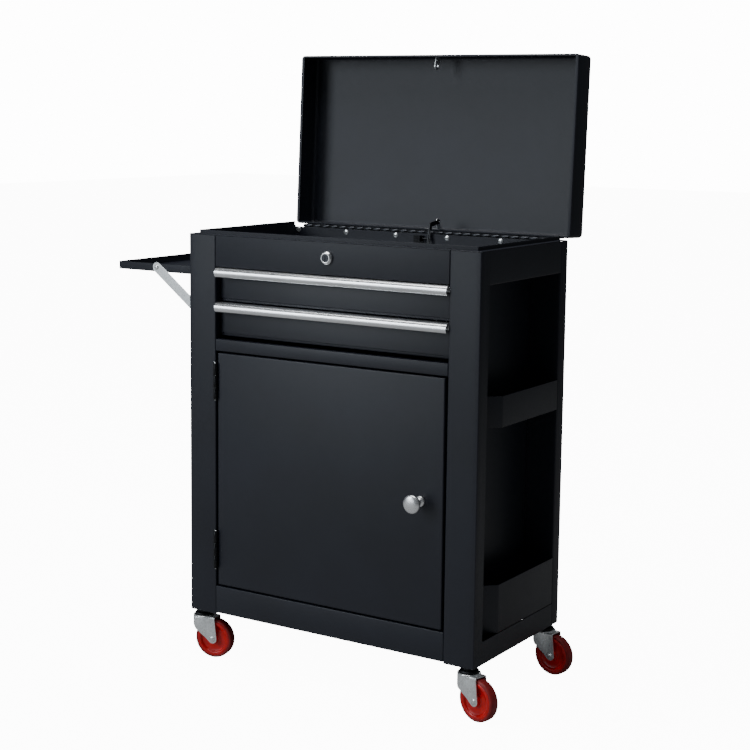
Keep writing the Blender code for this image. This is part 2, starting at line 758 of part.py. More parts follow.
def lid_stay(lid_joint):
    """The stay: an ear on the lid, a cranked arm that turns on it, and the arm's guide on the till's wall."""
    closed_pivot = closed_point(STAY_PIVOT)
    ear_left = STAY_LEFT - GAP - 1.5
    flange = LID_BACK - SHEET - GAP
    low = (288.0, flange - 1.5, LID_MOUTH + 9.0)
    base = solid_box("stay_bracket", low, (ear_left + 1.5, flange, LID_MOUTH + 30.0))
    ear_outline = [
        (flange, LID_MOUTH + 9.0),
        (flange, LID_MOUTH + 30.0),
        *arc(closed_pivot, 6.0, 60, 270, 8),
    ]
    ear = prism("ear", ear_outline, ear_left, ear_left + 1.5, ALONG_X)
    pin_end = STAY_LEFT + STAY_THICKNESS + 1.2
    pivot_pin = rod_along_x("stay_pivot_pin", 2.0, ear_left + 0.5, pin_end, *closed_pivot)
    place(joined(base, ear, pivot_pin), ZINC, lid_joint)

    pivot = Vector((STAY_LEFT + STAY_THICKNESS / 2, *STAY_PIVOT))
    arm_joint = joint_empty("stay_swing", lid_offset(pivot), (LID_OPEN_DEG, 0.0, 0.0), lid_joint)
    lower = prism("stay_arm", rounded_bar(STAY_ELBOW, STAY_END, STAY_HALF_WIDTH), *stay_span(), ALONG_X)
    upper = prism("upper", rounded_bar(STAY_PIVOT, STAY_ELBOW, STAY_HALF_WIDTH), *stay_span(), ALONG_X)
    bore = rod_along_x("bore", 2.3, STAY_LEFT - 5.0, STAY_LEFT + 10.0, *STAY_PIVOT)
    slot_outline = rounded_bar((312.5, 713.0), (306.5, 688.0), 1.6, 4)
    slot = prism("slot", slot_outline, STAY_LEFT - 5.0, STAY_LEFT + 8.0, ALONG_X)
    arm = cut(joined(lower, upper), bore, slot)
    arm.data.materials.append(part_material("stay_arm", ZINC))
    arm.parent = arm_joint
    arm.location -= pivot * MM

    wall = TILL_BACK - SHEET - GAP
    guide = solid_box("stay_guide", (289.0, wall - 1.5, 684.0), (310.0, wall, 703.0))
    tab = solid_box("tab", (308.5, wall - 14.0, 692.0), (310.0, wall - 1.0, 703.0))
    stud = rod_along_x("stud", 1.5, 309.0, STAY_LEFT - GAP, wall - 6.0, 697.5)
    place(joined(guide, tab, stud), DARK_STEEL)


def stay_span():
    return STAY_LEFT, STAY_LEFT + STAY_THICKNESS


def closed_point(point):
    """Where a point of the open lid lies when the lid is closed, in Y and Z."""
    y = point[0] - LID_AXIS[0]
    z = point[1] - LID_AXIS[1]
    angle = math.radians(LID_OPEN_DEG)
    closed_y = y * math.cos(angle) - z * math.sin(angle)
    closed_z = y * math.sin(angle) + z * math.cos(angle)
    return closed_y + LID_AXIS[0], closed_z + LID_AXIS[1]


def lid_offset(point):
    """A point of the open lid, from the lid's axis and in the closed lid's directions."""
    y, z = closed_point((point.y, point.z))
    return point.x - WIDTH / 2, y - LID_AXIS[0], z - LID_AXIS[1]


# ---------------------------------------------------------------- side tray


def side_tray():
    x, z = TRAY_AXIS
    joint = joint_empty("tray_fold", (x, (TRAY_FRONT + TRAY_BACK) / 2, z))
    tray = sheet_box(
        "side_tray", (-TRAY_REACH, TRAY_FRONT, TRAY_TOP - TRAY_DEPTH), (-2.4, TRAY_BACK, TRAY_TOP), ("+z",)
    )
    place(tray, PAINT, joint)
    tray_hinge(joint)
    angle = math.radians(BRACE_SLOPE_DEG)
    end = (BRACE_RIVET[0] + BRACE_LENGTH * math.cos(angle), BRACE_RIVET[1] - BRACE_LENGTH * math.sin(angle))
    front = TRAY_FRONT - GAP - BRACE_THICKNESS
    for name, start_y in (("brace_front", front), ("brace_rear", TRAY_BACK + GAP)):
        pivot = Vector((BRACE_RIVET[0], start_y + BRACE_THICKNESS / 2, BRACE_RIVET[1]))
        brace_joint = joint_empty(f"{name}_swing", pivot - joint.location / MM, parent=joint)
        shape = rounded_bar(BRACE_RIVET, end, BRACE_HALF_WIDTH)
        brace = prism(name, shape, start_y, start_y + BRACE_THICKNESS, ALONG_Y)
        brace.data.materials.append(part_material(name, ZINC))
        brace.parent = brace_joint
        brace.location -= pivot * MM


def tray_hinge(joint):
    """The body leaf carries the pin and every other knuckle. The tray's leaf has the bored ones."""
    x, z = TRAY_AXIS
    front, back = TRAY_HINGE_ENDS
    pitch = (back - front) / TRAY_KNUCKLES
    leaf = solid_box("tray_hinge_body_leaf", (x, front, z + 1.8), (x + 24.0, back, z + 3.2))
    pin = cylinder("pin", 1.0, -back - 1.0, -front + 1.0, (x, 0.0, z), 10, ALONG_Y)
    own, others, rooms = [], [], []
    for index in range(TRAY_KNUCKLES):
        start = front + index * pitch
        span = (-start - pitch + GAP, -start - GAP)
        if index % 2:
            others.append(cylinder("knuckle", 2.6, *span, (x, 0.0, z), 12, ALONG_Y))
            rooms.append(solid_box("room", (x - 4.0, start, z - 3.0), (x + 3.2, start + pitch, z + 5.0)))
        else:
            own.append(cylinder("knuckle", 2.6, *span, (x, 0.0, z), 12, ALONG_Y))
    leaf = cut(leaf, *rooms)
    place(joined(leaf, *own, pin), ZINC)
    low = (-2.1, front + pitch + GAP, TRAY_TOP - 12.0)
    flap = solid_box("tray_hinge_tray_leaf", low, (-0.9, back - pitch - GAP, z))
    low = (x - 4.0, front + 2 * pitch - GAP, z - 3.2)
    middle = solid_box("room", low, (x + 4.0, front + 3 * pitch + GAP, z + 5.0))
    bore = cylinder("bore", 1.3, -back - 5.0, -front + 5.0, (x, 0.0, z), 10, ALONG_Y)
    place(cut(joined(flap, *others), middle, bore), ZINC, joint)


# ---------------------------------------------------------------- casters


def wheel_mesh():
    """The wheel, turned about its axle: hub, dished web, and a rim with a rounded tread."""
    half = WHEEL_HALF_WIDTH
    side = [(4.0, half + 0.6), (9.5, half + 0.6), (12.5, half - 3.5), (24.0, half - 4.5), (27.5, half - 0.5)]
    tread = [(32.5, half), (36.0, half - 1.5), (WHEEL_RADIUS, half - 4.5)]
    upper = side + tread
    profile = upper + [(radius, -height) for radius, height in reversed(upper)]
    wheel = turned("wheel_shape", profile, (0.0, 0.0, 0.0), 28, ALONG_Z, ring=True)
    mesh = wheel.data
    bpy.data.objects.remove(wheel, do_unlink=True)
    return mesh


def fork_mesh():
    """The fork about its swivel axis: a crown, two tapered cheeks and the axle riveted through them."""
    outer = CHEEK_INNER + CHEEK_THICKNESS
    axle = (CASTER_TRAIL, WHEEL_RADIUS - CASTER_HEIGHT)
    crown = [
        (19.5, CROWN_TOP),
        (21.5, CROWN_TOP - 1.5),
        (21.5, CROWN_BOTTOM),
        (4.4, CROWN_BOTTOM),
        (4.4, CROWN_TOP),
    ]
    fork = turned("fork_shape", crown, (0.0, 0.0, 0.0), 24, ALONG_Z, ring=True)
    cheek = [
        (-15.0, CROWN_TOP - 1.0),
        (-15.0, CROWN_BOTTOM - 9.0),
        *arc(axle, 8.5, 205, 355, 8),
        (CROWN_REACH + 0.6, CROWN_BOTTOM - 4.0),
        (CROWN_REACH + 0.6, CROWN_TOP - 1.0),
    ]
    pieces = [
        solid_box("tab", (8.0, 0.6 - outer, CROWN_BOTTOM + 0.4), (CROWN_REACH, outer - 0.6, CROWN_TOP - 0.6)),
        prism("cheek", cheek, -outer, -CHEEK_INNER, ALONG_Y),
        prism("cheek", cheek, CHEEK_INNER, outer, ALONG_Y),
        cylinder("axle", AXLE_RADIUS, -outer - 0.5, outer + 0.5, (axle[0], 0.0, axle[1]), 14, ALONG_Y),
        cylinder("rivet_head", 5.5, outer - 0.5, outer + 1.6, (axle[0], 0.0, axle[1]), 14, ALONG_Y),
        cylinder("rivet_head", 5.5, -outer - 1.6, -outer + 0.5, (axle[0], 0.0, axle[1]), 14, ALONG_Y),
    ]
    fork = joined(fork, *pieces)
    mesh = fork.data
    bpy.data.objects.remove(fork, do_unlink=True)
    return mesh


def stem_mesh():
    """The fixed part: a threaded stud, a neck with a cap below it, and the crown's king pin."""
    profile = [
        (0.0, 14.0),
        (5.0, 14.0),
        (5.0, -GAP),
        (12.0, -GAP),
        (12.0, -4.5),
        (15.5, -5.0),
        (17.5, -7.0),
        (17.5, CROWN_TOP + GAP),
        (4.0, CROWN_TOP + GAP),
        (4.0, CROWN_BOTTOM - 1.0),
        (0.0, CROWN_BOTTOM - 1.0),
    ]
    stem = turned("stem_shape", profile, (0.0, 0.0, 0.0), 18, ALONG_Z)
    mesh = stem.data
    bpy.data.objects.remove(stem, do_unlink=True)
    return mesh


def casters():
    wheel, fork, stem = wheel_mesh(), fork_mesh(), stem_mesh()
    axle_height = WHEEL_RADIUS - CASTER_HEIGHT
    for corner, yaw in CASTER_YAW_DEG.items():
        x = CASTER_INSET if corner.endswith("left") else WIDTH - CASTER_INSET
        y = CASTER_INSET if corner.startswith("front") else DEPTH - CASTER_INSET
        swivel = joint_empty(f"caster_swivel_{corner}", (x, y, 0.0), (0.0, 0.0, yaw))
        spin = joint_empty(f"wheel_spin_{corner}", (CASTER_TRAIL, 0.0, axle_height), (-90.0, 0.0, 0.0), swivel)
        for name, mesh, joint, finish in (
            (f"caster_stem_{corner}", stem, None, DARK_STEEL),
            (f"caster_fork_{corner}", fork, swivel, ZINC),
            (f"caster_wheel_{corner}", wheel, spin, RED),
        ):
            obj = link(name, mesh.copy())
            obj.data.materials.clear()
            obj.data.materials.append(part_material(name, finish))
            obj.parent = joint or bpy.data.objects["chest"]
            if joint is None:
                obj.location = Vector((x, y, 0.0)) * MM


# ---------------------------------------------------------------- whole chest


def centre_chest(root):
    """Moves the chest so that the world's origin is at the bottom centre of its box."""
    bpy.context.view_layer.update()
    graph = bpy.context.evaluated_depsgraph_get()
    corners = []
    for obj in bpy.data.objects:
        if obj.type == "EMPTY":
            continue
        evaluated = obj.evaluated_get(graph)
        mesh = evaluated.to_mesh()
        corners += [evaluated.matrix_world @ vertex.co for vertex in mesh.vertices]
        evaluated.to_mesh_clear()
    low = Vector(min(corner[axis] for corner in corners) for axis in range(3))
    high = Vector(max(corner[axis] for corner in corners) for axis in range(3))
    root.location = (-(low.x + high.x) / 2, -(low.y + high.y) / 2, -low.z)
    bpy.context.view_layer.update()


def build_chest():
    clear_scene()
    new_collection("rolling_tool_chest")
    root = link("chest", None)
    columns()
    rear_posts()
    panels()
    top_bands()
    till_liner()
    bins()
    drawers()
    drawer_rails()
    door()
    lock()
    lid()
    side_tray()
    casters()
    centre_chest(root)


build_chest()
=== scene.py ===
"""A rolling tool chest: steel cabinet, hinged lid, two drawers, a door, a folding side tray and casters."""

import math
from types import SimpleNamespace

import bmesh
import bpy
from bpy.props import FloatProperty, FloatVectorProperty, IntProperty, PointerProperty
from mathutils import Matrix, Vector


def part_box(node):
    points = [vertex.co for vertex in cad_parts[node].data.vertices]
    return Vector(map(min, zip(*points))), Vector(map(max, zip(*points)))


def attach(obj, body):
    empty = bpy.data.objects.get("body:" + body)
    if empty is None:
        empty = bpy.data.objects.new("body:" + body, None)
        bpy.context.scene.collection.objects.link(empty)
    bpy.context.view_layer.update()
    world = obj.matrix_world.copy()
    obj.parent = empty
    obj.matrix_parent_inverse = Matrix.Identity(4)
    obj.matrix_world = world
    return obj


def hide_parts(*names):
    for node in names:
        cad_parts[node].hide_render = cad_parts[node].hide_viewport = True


bl_info = {
    "name": "Rolling Tool Chest",
    "version": (1, 0, 0),
    "blender": (4, 5, 0),
    "location": "View3D > Sidebar > Tool Chest",
    "description": "Builds the detailed pieces, finishes and studio of a rolling tool chest",
    "category": "Object",
}

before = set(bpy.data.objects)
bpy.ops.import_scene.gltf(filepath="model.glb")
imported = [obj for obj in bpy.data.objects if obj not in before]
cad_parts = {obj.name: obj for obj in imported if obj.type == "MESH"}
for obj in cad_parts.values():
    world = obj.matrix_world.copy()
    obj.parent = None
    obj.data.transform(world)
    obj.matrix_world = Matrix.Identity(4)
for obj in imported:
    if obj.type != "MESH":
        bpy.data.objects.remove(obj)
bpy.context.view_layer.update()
MM = 0.001
# The pieces are drawn in millimetres from the cabinet's lower front left corner.
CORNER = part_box("column_left")[0]

WIDTH = 610.0
DEPTH = 320.0
FRAME_TOP = 708.5
BAND_BOTTOM = 652.0
LEDGE = 13.0
TILL_BACK = 317.0
RECESS_FRONT = 29.3
COLUMN = 60.0
COLUMN_LAP = 31.5
LID_AXIS = (330.5, 707.4)
LID_OPEN = math.radians(92.8)
LID_MOUTH = 710.4
LID_TOP = 765.4
DOOR_AXIS = (62.3, -4.0)
CASTER_INSET = 18.0
CASTER_HEIGHT = -(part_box("caster_wheel_front_left")[0].z - CORNER.z) / MM
CASTER_TRAIL = 23.0
WHEEL_RADIUS = 37.5
TREAD_START = 32.4
AXLE = Vector((CASTER_TRAIL, 0.0, WHEEL_RADIUS - CASTER_HEIGHT))
CASTER_YAWS = {"front_left": 12.0, "front_right": -13.0, "back_left": 6.0, "back_right": -8.0}
SIDES = {
    "-x": Vector((-1, 0, 0)),
    "+x": Vector((1, 0, 0)),
    "-y": Vector((0, -1, 0)),
    "+y": Vector((0, 1, 0)),
    "-z": Vector((0, 0, -1)),
    "+z": Vector((0, 0, 1)),
}


# ---------------------------------------------------------------- sizes and colours


def length(name, text, millimetres):
    return FloatProperty(
        name=name,
        description=text,
        default=millimetres * MM,
        min=0.0,
        precision=5,
        unit="LENGTH",
        subtype="DISTANCE",
    )


def colour(name, text, default):
    return FloatVectorProperty(
        name=name, description=text, default=default, size=3, min=0, max=1, subtype="COLOR"
    )


class ChestSizes(bpy.types.PropertyGroup):
    """Sizes of the small shapes."""

    sheet: length("Sheet", "Thickness of the folded steel sheet", 1.2)
    bend: length("Bend", "Outside radius of the cabinet's folds", 2.2)
    seam_bend: length("Seam bend", "Outside radius where a front sheet meets a column", 1.2)
    edge: length("Edge", "Rounding of the sheet's cut edges", 0.3)
    lid_bend: length("Lid bend", "Outside radius of the lid's soft bends", 7.0)
    side_hem: length("Side hem", "Width of the flange turned in at the lid's sides", 8.0)
    front_hem: length("Front hem", "Width of the flange turned in at the lid's front and back", 5.0)
    knuckle_pitch: length("Knuckle pitch", "Length of one knuckle of the lid's hinge", 20.0)
    till_rivet: length("Till rivet", "Radius of the rivet heads inside the till", 5.2)
    brace_rivet: length("Brace rivet", "Radius of the rivet heads on the tray's braces", 4.6)
    segments: IntProperty(
        name="Segments", description="Steps round a turned piece", default=64, min=12, max=128
    )


class ChestColours(bpy.types.PropertyGroup):
    """Base colours of the finishes."""

    paint: colour("Powder coat", "Blue-black satin powder coat", (0.0108, 0.0136, 0.0225))
    bar: colour("Pull bars", "Polished metal of the drawer pulls", (0.93, 0.94, 0.95))
    chrome: colour("Chrome", "Lock and knob", (0.90, 0.91, 0.92))
    hinge: colour("Hinge steel", "Dark steel of the long hinges' leaves and pins", (0.045, 0.048, 0.055))
    zinc: colour("Zinc plate", "Braces, forks and stay", (0.92, 0.95, 0.95))
    dark: colour("Dark steel", "Blackened hinges and caster caps", (0.018, 0.019, 0.021))
    red: colour("Red wheel", "Moulded red of the wheels", (0.70, 0.002, 0.004))


# ---------------------------------------------------------------- finishes


def node(tree, kind, **values):
    made = tree.nodes.new(kind)
    for key, value in values.items():
        if key in made.inputs:
            made.inputs[key].default_value = value
        else:
            setattr(made, key, value)
    return made


def grain(tree, scale, detail=4.0, stretch=(1.0, 1.0, 1.0), roughness=0.55):
    """A noise on the object's own coordinates, drawn out along an axis where stretch is small."""
    place = node(tree, "ShaderNodeTexCoord")
    turn = node(tree, "ShaderNodeMapping", Scale=stretch)
    noise = node(tree, "ShaderNodeTexNoise", Scale=scale, Detail=detail, Roughness=roughness)
    tree.links.new(place.outputs["Object"], turn.inputs["Vector"])
    tree.links.new(turn.outputs["Vector"], noise.inputs["Vector"])
    return noise.outputs["Fac"]


def ramp(tree, source, low, high, start=0.35, end=0.65):
    made = node(tree, "ShaderNodeValToRGB")
    made.color_ramp.elements[0].position = start
    made.color_ramp.elements[1].position = end
    made.color_ramp.elements[0].color = (*low, 1.0)
    made.color_ramp.elements[1].color = (*high, 1.0)
    tree.links.new(source, made.inputs["Fac"])
    return made.outputs["Color"]


def spread(tree, source, low, high):
    made = node(tree, "ShaderNodeMapRange")
    made.inputs["From Min"].default_value = 0.3
    made.inputs["From Max"].default_value = 0.7
    made.inputs["To Min"].default_value = low
    made.inputs["To Max"].default_value = high
    tree.links.new(source, made.inputs["Value"])
    return made.outputs["Result"]


def bump(tree, source, distance, strength=1.0, under=None):
    made = node(tree, "ShaderNodeBump", Strength=strength, Distance=distance * MM)
    tree.links.new(source, made.inputs["Height"])
    if under is not None:
        tree.links.new(under, made.inputs["Normal"])
    return made.outputs["Normal"]


def shades(base, low, high):
    return [value * low for value in base], [min(1.0, value * high) for value in base]


def new_finish(name, base, metallic, roughness, **constants):
    """A principled material with its plain values set, and what its textures drive left to the caller."""
    material = bpy.data.materials.new(name)
    material.use_nodes = True
    shader = material.node_tree.nodes["Principled BSDF"]
    shader.inputs["Base Color"].default_value = (*base, 1.0)
    shader.inputs["Metallic"].default_value = metallic
    shader.inputs["Roughness"].default_value = roughness
    for key, value in constants.items():
        shader.inputs[key.replace("_", " ")].default_value = value
    material.diffuse_color = (*base, 1.0)
    return material, material.node_tree, shader


def connect(tree, shader, base, rough, normal):
    tree.links.new(base, shader.inputs["Base Color"])
    tree.links.new(rough, shader.inputs["Roughness"])
    tree.links.new(normal, shader.inputs["Normal"])


def powder_coat(name, base, low, high):
    """Satin powder coat: a fine orange peel over a slow drift in shade and gloss."""
    material, tree, shader = new_finish(name, base, 0.0, 0.42, Specular_IOR_Level=0.5)
    drift = grain(tree, 5.0, 3.0)
    flecks = grain(tree, 900.0, 2.0)
    peel = bump(tree, grain(tree, 420.0, 2.0, roughness=0.4), 0.035, 0.55)
    skin = bump(tree, flecks, 0.012, 0.5, peel)
    connect(tree, shader, ramp(tree, drift, *shades(base, 0.86, 1.14)), spread(tree, flecks, low, high), skin)
    return material


def drawn_metal(name, base, low, high, stretch, depth=0.006):
    """Metal with fine lines drawn along the axis whose stretch is small."""
    material, tree, shader = new_finish(name, base, 0.88, 0.2)
    lines = grain(tree, 900.0, 3.0, stretch)
    cloud = grain(tree, 14.0, 3.0)
    shade = ramp(tree, cloud, *shades(base, 0.92, 1.04))
    connect(tree, shader, shade, spread(tree, lines, low, high), bump(tree, lines, depth))
    return material


def plated_metal(name, base, low, high):
    """Zinc plate: a soft spangle in small cells, with faint clouds in the gloss."""
    material, tree, shader = new_finish(name, base, 0.76, 0.3)
    place = node(tree, "ShaderNodeTexCoord")
    cells = node(tree, "ShaderNodeTexVoronoi", Scale=260.0, Randomness=1.0)
    tree.links.new(place.outputs["Object"], cells.inputs["Vector"])
    cloud = grain(tree, 90.0, 4.0)
    base_colour = ramp(tree, cells.outputs["Distance"], *shades(base, 0.86, 1.05), 0.05, 0.75)
    connect(tree, shader, base_colour, spread(tree, cloud, low, high), bump(tree, cloud, 0.012, 0.6))
    return material


def dark_metal(name, base):
    """Blackened steel with worn, slightly brighter flecks."""
    material, tree, shader = new_finish(name, base, 0.7, 0.4)
    flecks = grain(tree, 320.0, 5.0)
    shade = ramp(tree, flecks, *shades(base, 0.7, 2.4), 0.45, 0.8)
    connect(tree, shader, shade, spread(tree, flecks, 0.3, 0.5), bump(tree, flecks, 0.02))
    return material


def moulded_plastic(name, base, low, high, dust=0.0):
    """Moulded polyurethane: a deep even colour, a soft sheen and a little dust where it rolls."""
    material, tree, shader = new_finish(
        name, base, 0.0, 0.35, Subsurface_Weight=0.12, Coat_Weight=0.15, Coat_Roughness=0.2
    )
    shader.inputs["Subsurface Radius"].default_value = (0.006, 0.001, 0.001)
    shader.inputs["Subsurface Scale"].default_value = 1.0
    swirl = grain(tree, 60.0, 4.0)
    fine = grain(tree, 700.0, 3.0)
    low_shade, high_shade = shades(base, 0.82, 1.1)
    high_shade = [value + (0.25 - value) * dust for value in high_shade]
    shade = ramp(tree, swirl, low_shade, high_shade)
    connect(tree, shader, shade, spread(tree, fine, low, high), bump(tree, fine, 0.02, 0.5))
    return material


def make_finishes(colours):
    """Every finish by name. Those that share a record slot differ only in how they were worked."""
    return {
        "paint": powder_coat("satin_powder_coat", colours.paint, 0.36, 0.47),
        "inside_paint": powder_coat("inner_powder_coat", colours.paint, 0.42, 0.55),
        "bar": drawn_metal("polished_bar", colours.bar, 0.2, 0.26, (0.004, 0.25, 0.25), 0.0015),
        "chrome": drawn_metal("bright_chrome", colours.chrome, 0.05, 0.11, (1.0, 1.0, 1.0), 0.002),
        "satin_chrome": drawn_metal("satin_chrome", colours.chrome, 0.24, 0.34, (1.0, 0.25, 1.0), 0.004),
        "hinge": drawn_metal("hinge_steel", colours.hinge, 0.28, 0.42, (0.1, 1.0, 1.0)),
        "zinc": plated_metal("zinc_plate", colours.zinc, 0.24, 0.38),
        "rivet": plated_metal("rivet_heads", colours.zinc, 0.12, 0.2),
        "dark": dark_metal("blackened_steel", colours.dark),
        "red": moulded_plastic("red_wheel_face", colours.red, 0.26, 0.4),
        "tread": moulded_plastic("red_wheel_tread", [value * 0.42 for value in colours.red], 0.45, 0.6, 0.06),
    }


def finish_of(name):
    """The named finish, made with all the others the first time that one is asked for."""
    key = f"chest_{name}"
    found = next((material for material in bpy.data.materials if material.get("chest_finish") == key), None)
    if found is None:
        for each, material in make_finishes(bpy.context.scene.chest_colours).items():
            material["chest_finish"] = f"chest_{each}"
            if each == name:
                found = material
    return found


# ---------------------------------------------------------------- shaping


def block(bm, low, high):
    """A box between two corners."""
    size = [b - a for a, b in zip(low, high)]
    middle = [(a + b) / 2 for a, b in zip(low, high)]
    matrix = Matrix.Translation(middle) @ Matrix.Diagonal((*size, 1.0))
    return bmesh.ops.create_cube(bm, size=1.0, matrix=matrix)["verts"]


def facing(bm, sides):
    """The flat faces that look towards the given sides."""
    return [face for face in bm.faces if any(face.normal.dot(SIDES[side]) > 0.999 for side in sides)]


def round_edges(bm, edges, radius, steps=4):
    bmesh.ops.bevel(
        bm,
        geom=edges,
        offset=radius,
        segments=steps,
        profile=0.5,
        affect="EDGES",
        material=-1,
        clamp_overlap=True,
    )
    bm.normal_update()


def folded(low, high, open_sides, bend, steps=4):
    """A sheet folded into a box, with rounded bends, left open on the given sides."""
    bm = bmesh.new()
    block(bm, low, high)
    bm.normal_update()
    gone = facing(bm, open_sides)
    bends = [edge for edge in bm.edges if not any(face in gone for face in edge.link_faces)]
    if bends:
        round_edges(bm, bends, bend, steps)
    bmesh.ops.delete(bm, geom=facing(bm, open_sides), context="FACES")
    return bm


def slice_at(bm, point, normal):
    geometry = bm.verts[:] + bm.edges[:] + bm.faces[:]
    bmesh.ops.bisect_plane(bm, geom=geometry, dist=1e-4, plane_co=point, plane_no=normal)


def remove_where(bm, gone):
    """Removes the faces whose middle the test accepts."""
    faces = [face for face in bm.faces if gone(face.calc_center_median())]
    bmesh.ops.delete(bm, geom=faces, context="FACES")


def outline_plate(bm, points, low, high, axis="y"):
    """A flat shape of the given outline, extruded from low to high along an axis."""
    place = {"x": lambda a, b: (low, a, b), "y": lambda a, b: (a, low, b), "z": lambda a, b: (a, b, low)}
    order = place[axis]
    travel = {"x": (high - low, 0, 0), "y": (0, high - low, 0), "z": (0, 0, high - low)}[axis]
    face = bm.faces.new([bm.verts.new(order(*point)) for point in points])
    raised = bmesh.ops.extrude_face_region(bm, geom=[face], use_keep_orig=True)["geom"]
    moved = [element for element in raised if isinstance(element, bmesh.types.BMVert)]
    bmesh.ops.translate(bm, vec=travel, verts=moved)
    return list(face.verts) + moved


def arc(centre, radius, start, end, steps):
    angles = [math.radians(start + (end - start) * step / steps) for step in range(steps + 1)]
    return [(centre[0] + radius * math.cos(angle), centre[1] + radius * math.sin(angle)) for angle in angles]


def bar_outline(start, end, half_width, steps=12):
    """A straight bar with round ends."""
    slope = math.degrees(math.atan2(end[1] - start[1], end[0] - start[0]))
    far_end = arc(end, half_width, slope - 90, slope + 90, steps)
    return far_end + arc(start, half_width, slope + 90, slope + 270, steps)


def turned(bm, profile, centre, axis="z", steps=64, ring=False):
    """A profile of (radius, height) points turned about an axis. A ring's profile closes on itself."""
    start = bm.verts[:]
    verts = [bm.verts.new((radius, 0.0, height)) for radius, height in profile]
    pairs = list(zip(verts, verts[1:])) + ([(verts[-1], verts[0])] if ring else [])
    edges = [bm.edges.new(pair) for pair in pairs]
    bmesh.ops.spin(
        bm,
        geom=verts + edges,
        cent=(0.0, 0.0, 0.0),
        axis=(0.0, 0.0, 1.0),
        angle=math.tau,
        steps=steps,
        use_merge=True,
        use_normal_flip=False,
        use_duplicate=False,
    )
    kept = set(start)
    made = [vert for vert in bm.verts if vert not in kept]
    bmesh.ops.remove_doubles(bm, verts=made, dist=1e-4)
    made = [vert for vert in bm.verts if vert not in kept]
    turn = {
        "z": Matrix.Identity(3),
        "x": Matrix.Rotation(math.radians(90), 3, "Y"),
        "-y": Matrix.Rotation(math.radians(90), 3, "X"),
        "+y": Matrix.Rotation(math.radians(-90), 3, "X"),
    }[axis]
    bmesh.ops.rotate(bm, cent=(0.0, 0.0, 0.0), matrix=turn, verts=made)
    bmesh.ops.translate(bm, vec=centre, verts=made)
    return made


def tube(bm, outer, inner, start, end, centre, axis, steps=24, soft=0.35):
    """A short tube with softened rims, from start to end along its axis."""
    profile = [
        (inner, start),
        (outer - soft, start),
        (outer, start + soft),
        (outer, end - soft),
        (outer - soft, end),
        (inner, end),
    ]
    return turned(bm, profile, centre, axis, steps, ring=True)


def dome_profile(radius, height, foot=-0.6, steps=7):
    """A rivet's head: a low dome on a short straight side."""
    angles = [math.radians(90 * step / steps) for step in range(steps)]
    rise = [(radius * math.cos(angle), height * (0.25 + 0.75 * math.sin(angle))) for angle in angles]
    return [(0.0, foot), (radius, foot), *rise, (0.0, height)]


def finish(name, bm, body, look, nodes=(), sheet=0.0, edge=0.0, solid=True, smooth=40.0):
    """Turns the drawing into a finished piece in its place, riding on its body and replacing its nodes."""
    if solid:
        bmesh.ops.remove_doubles(bm, verts=bm.verts, dist=1e-4)
        bmesh.ops.recalc_face_normals(bm, faces=bm.faces)
    bmesh.ops.scale(bm, vec=(MM, MM, MM), verts=bm.verts)
    bmesh.ops.translate(bm, vec=CORNER, verts=bm.verts)
    mesh = bpy.data.meshes.new(name)
    bm.to_mesh(mesh)
    bm.free()
    for polygon in mesh.polygons:
        polygon.use_smooth = True
    mesh.set_sharp_from_angle(angle=math.radians(smooth))
    looks = [look] if isinstance(look, str) else list(look)
    for each in looks:
        mesh.materials.append(finish_of(each))
    piece = bpy.data.objects.new(name, mesh)
    bpy.context.scene.collection.objects.link(piece)
    if sheet:
        wall = piece.modifiers.new("sheet", "SOLIDIFY")
        wall.thickness = sheet * MM
        wall.offset = -1.0
        wall.use_even_offset = True
    if edge:
        rounding = piece.modifiers.new("edges", "BEVEL")
        rounding.width = edge * MM
        rounding.segments = 2
        rounding.limit_method = "ANGLE"
        rounding.angle_limit = math.radians(50)
        rounding.harden_normals = True
    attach(piece, body)
    if nodes:
        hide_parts(*nodes)
    return piece


def finish_sheet(name, bm, node_name, body="cabinet"):
    """Finishes a folded sheet in body paint."""
    size = sizes()
    return finish(name, bm, body, "paint", [node_name], size.sheet, size.edge, False)


def open_lid(bm):
    """Turns what was drawn on the closed lid to where the open lid holds it."""
    turn = Matrix.Rotation(-LID_OPEN, 3, "X")
    bmesh.ops.rotate(bm, cent=(0.0, *LID_AXIS), matrix=turn, verts=bm.verts)


def sizes():
    """The scene's sizes in millimetres, and its counts as they are."""
    group = bpy.context.scene.chest_sizes
    values = {name: getattr(group, name) for name in ChestSizes.__annotations__}
    in_millimetres = {
        name: value / MM if isinstance(value, float) else value for name, value in values.items()
    }
    return SimpleNamespace(**in_millimetres)


# ---------------------------------------------------------------- cabinet


class PieceOperator(bpy.types.Operator):
    """What every piece's operator shares."""

    bl_options = {"REGISTER", "UNDO"}


def above_band(middle):
    """The room that the till takes out of the corners."""
    inside = LEDGE - 0.6
    return inside < middle.x < WIDTH - inside and middle.y > inside and middle.z > BAND_BOTTOM - 0.3


def clear_of_till(bm):
    slice_at(bm, (0, 0, BAND_BOTTOM - 0.3), (0, 0, 1))
    slice_at(bm, (LEDGE - 0.6, 0, 0), (1, 0, 0))
    slice_at(bm, (WIDTH - LEDGE + 0.6, 0, 0), (1, 0, 0))
    slice_at(bm, (0, LEDGE - 0.6, 0), (0, 1, 0))
    remove_where(bm, above_band)


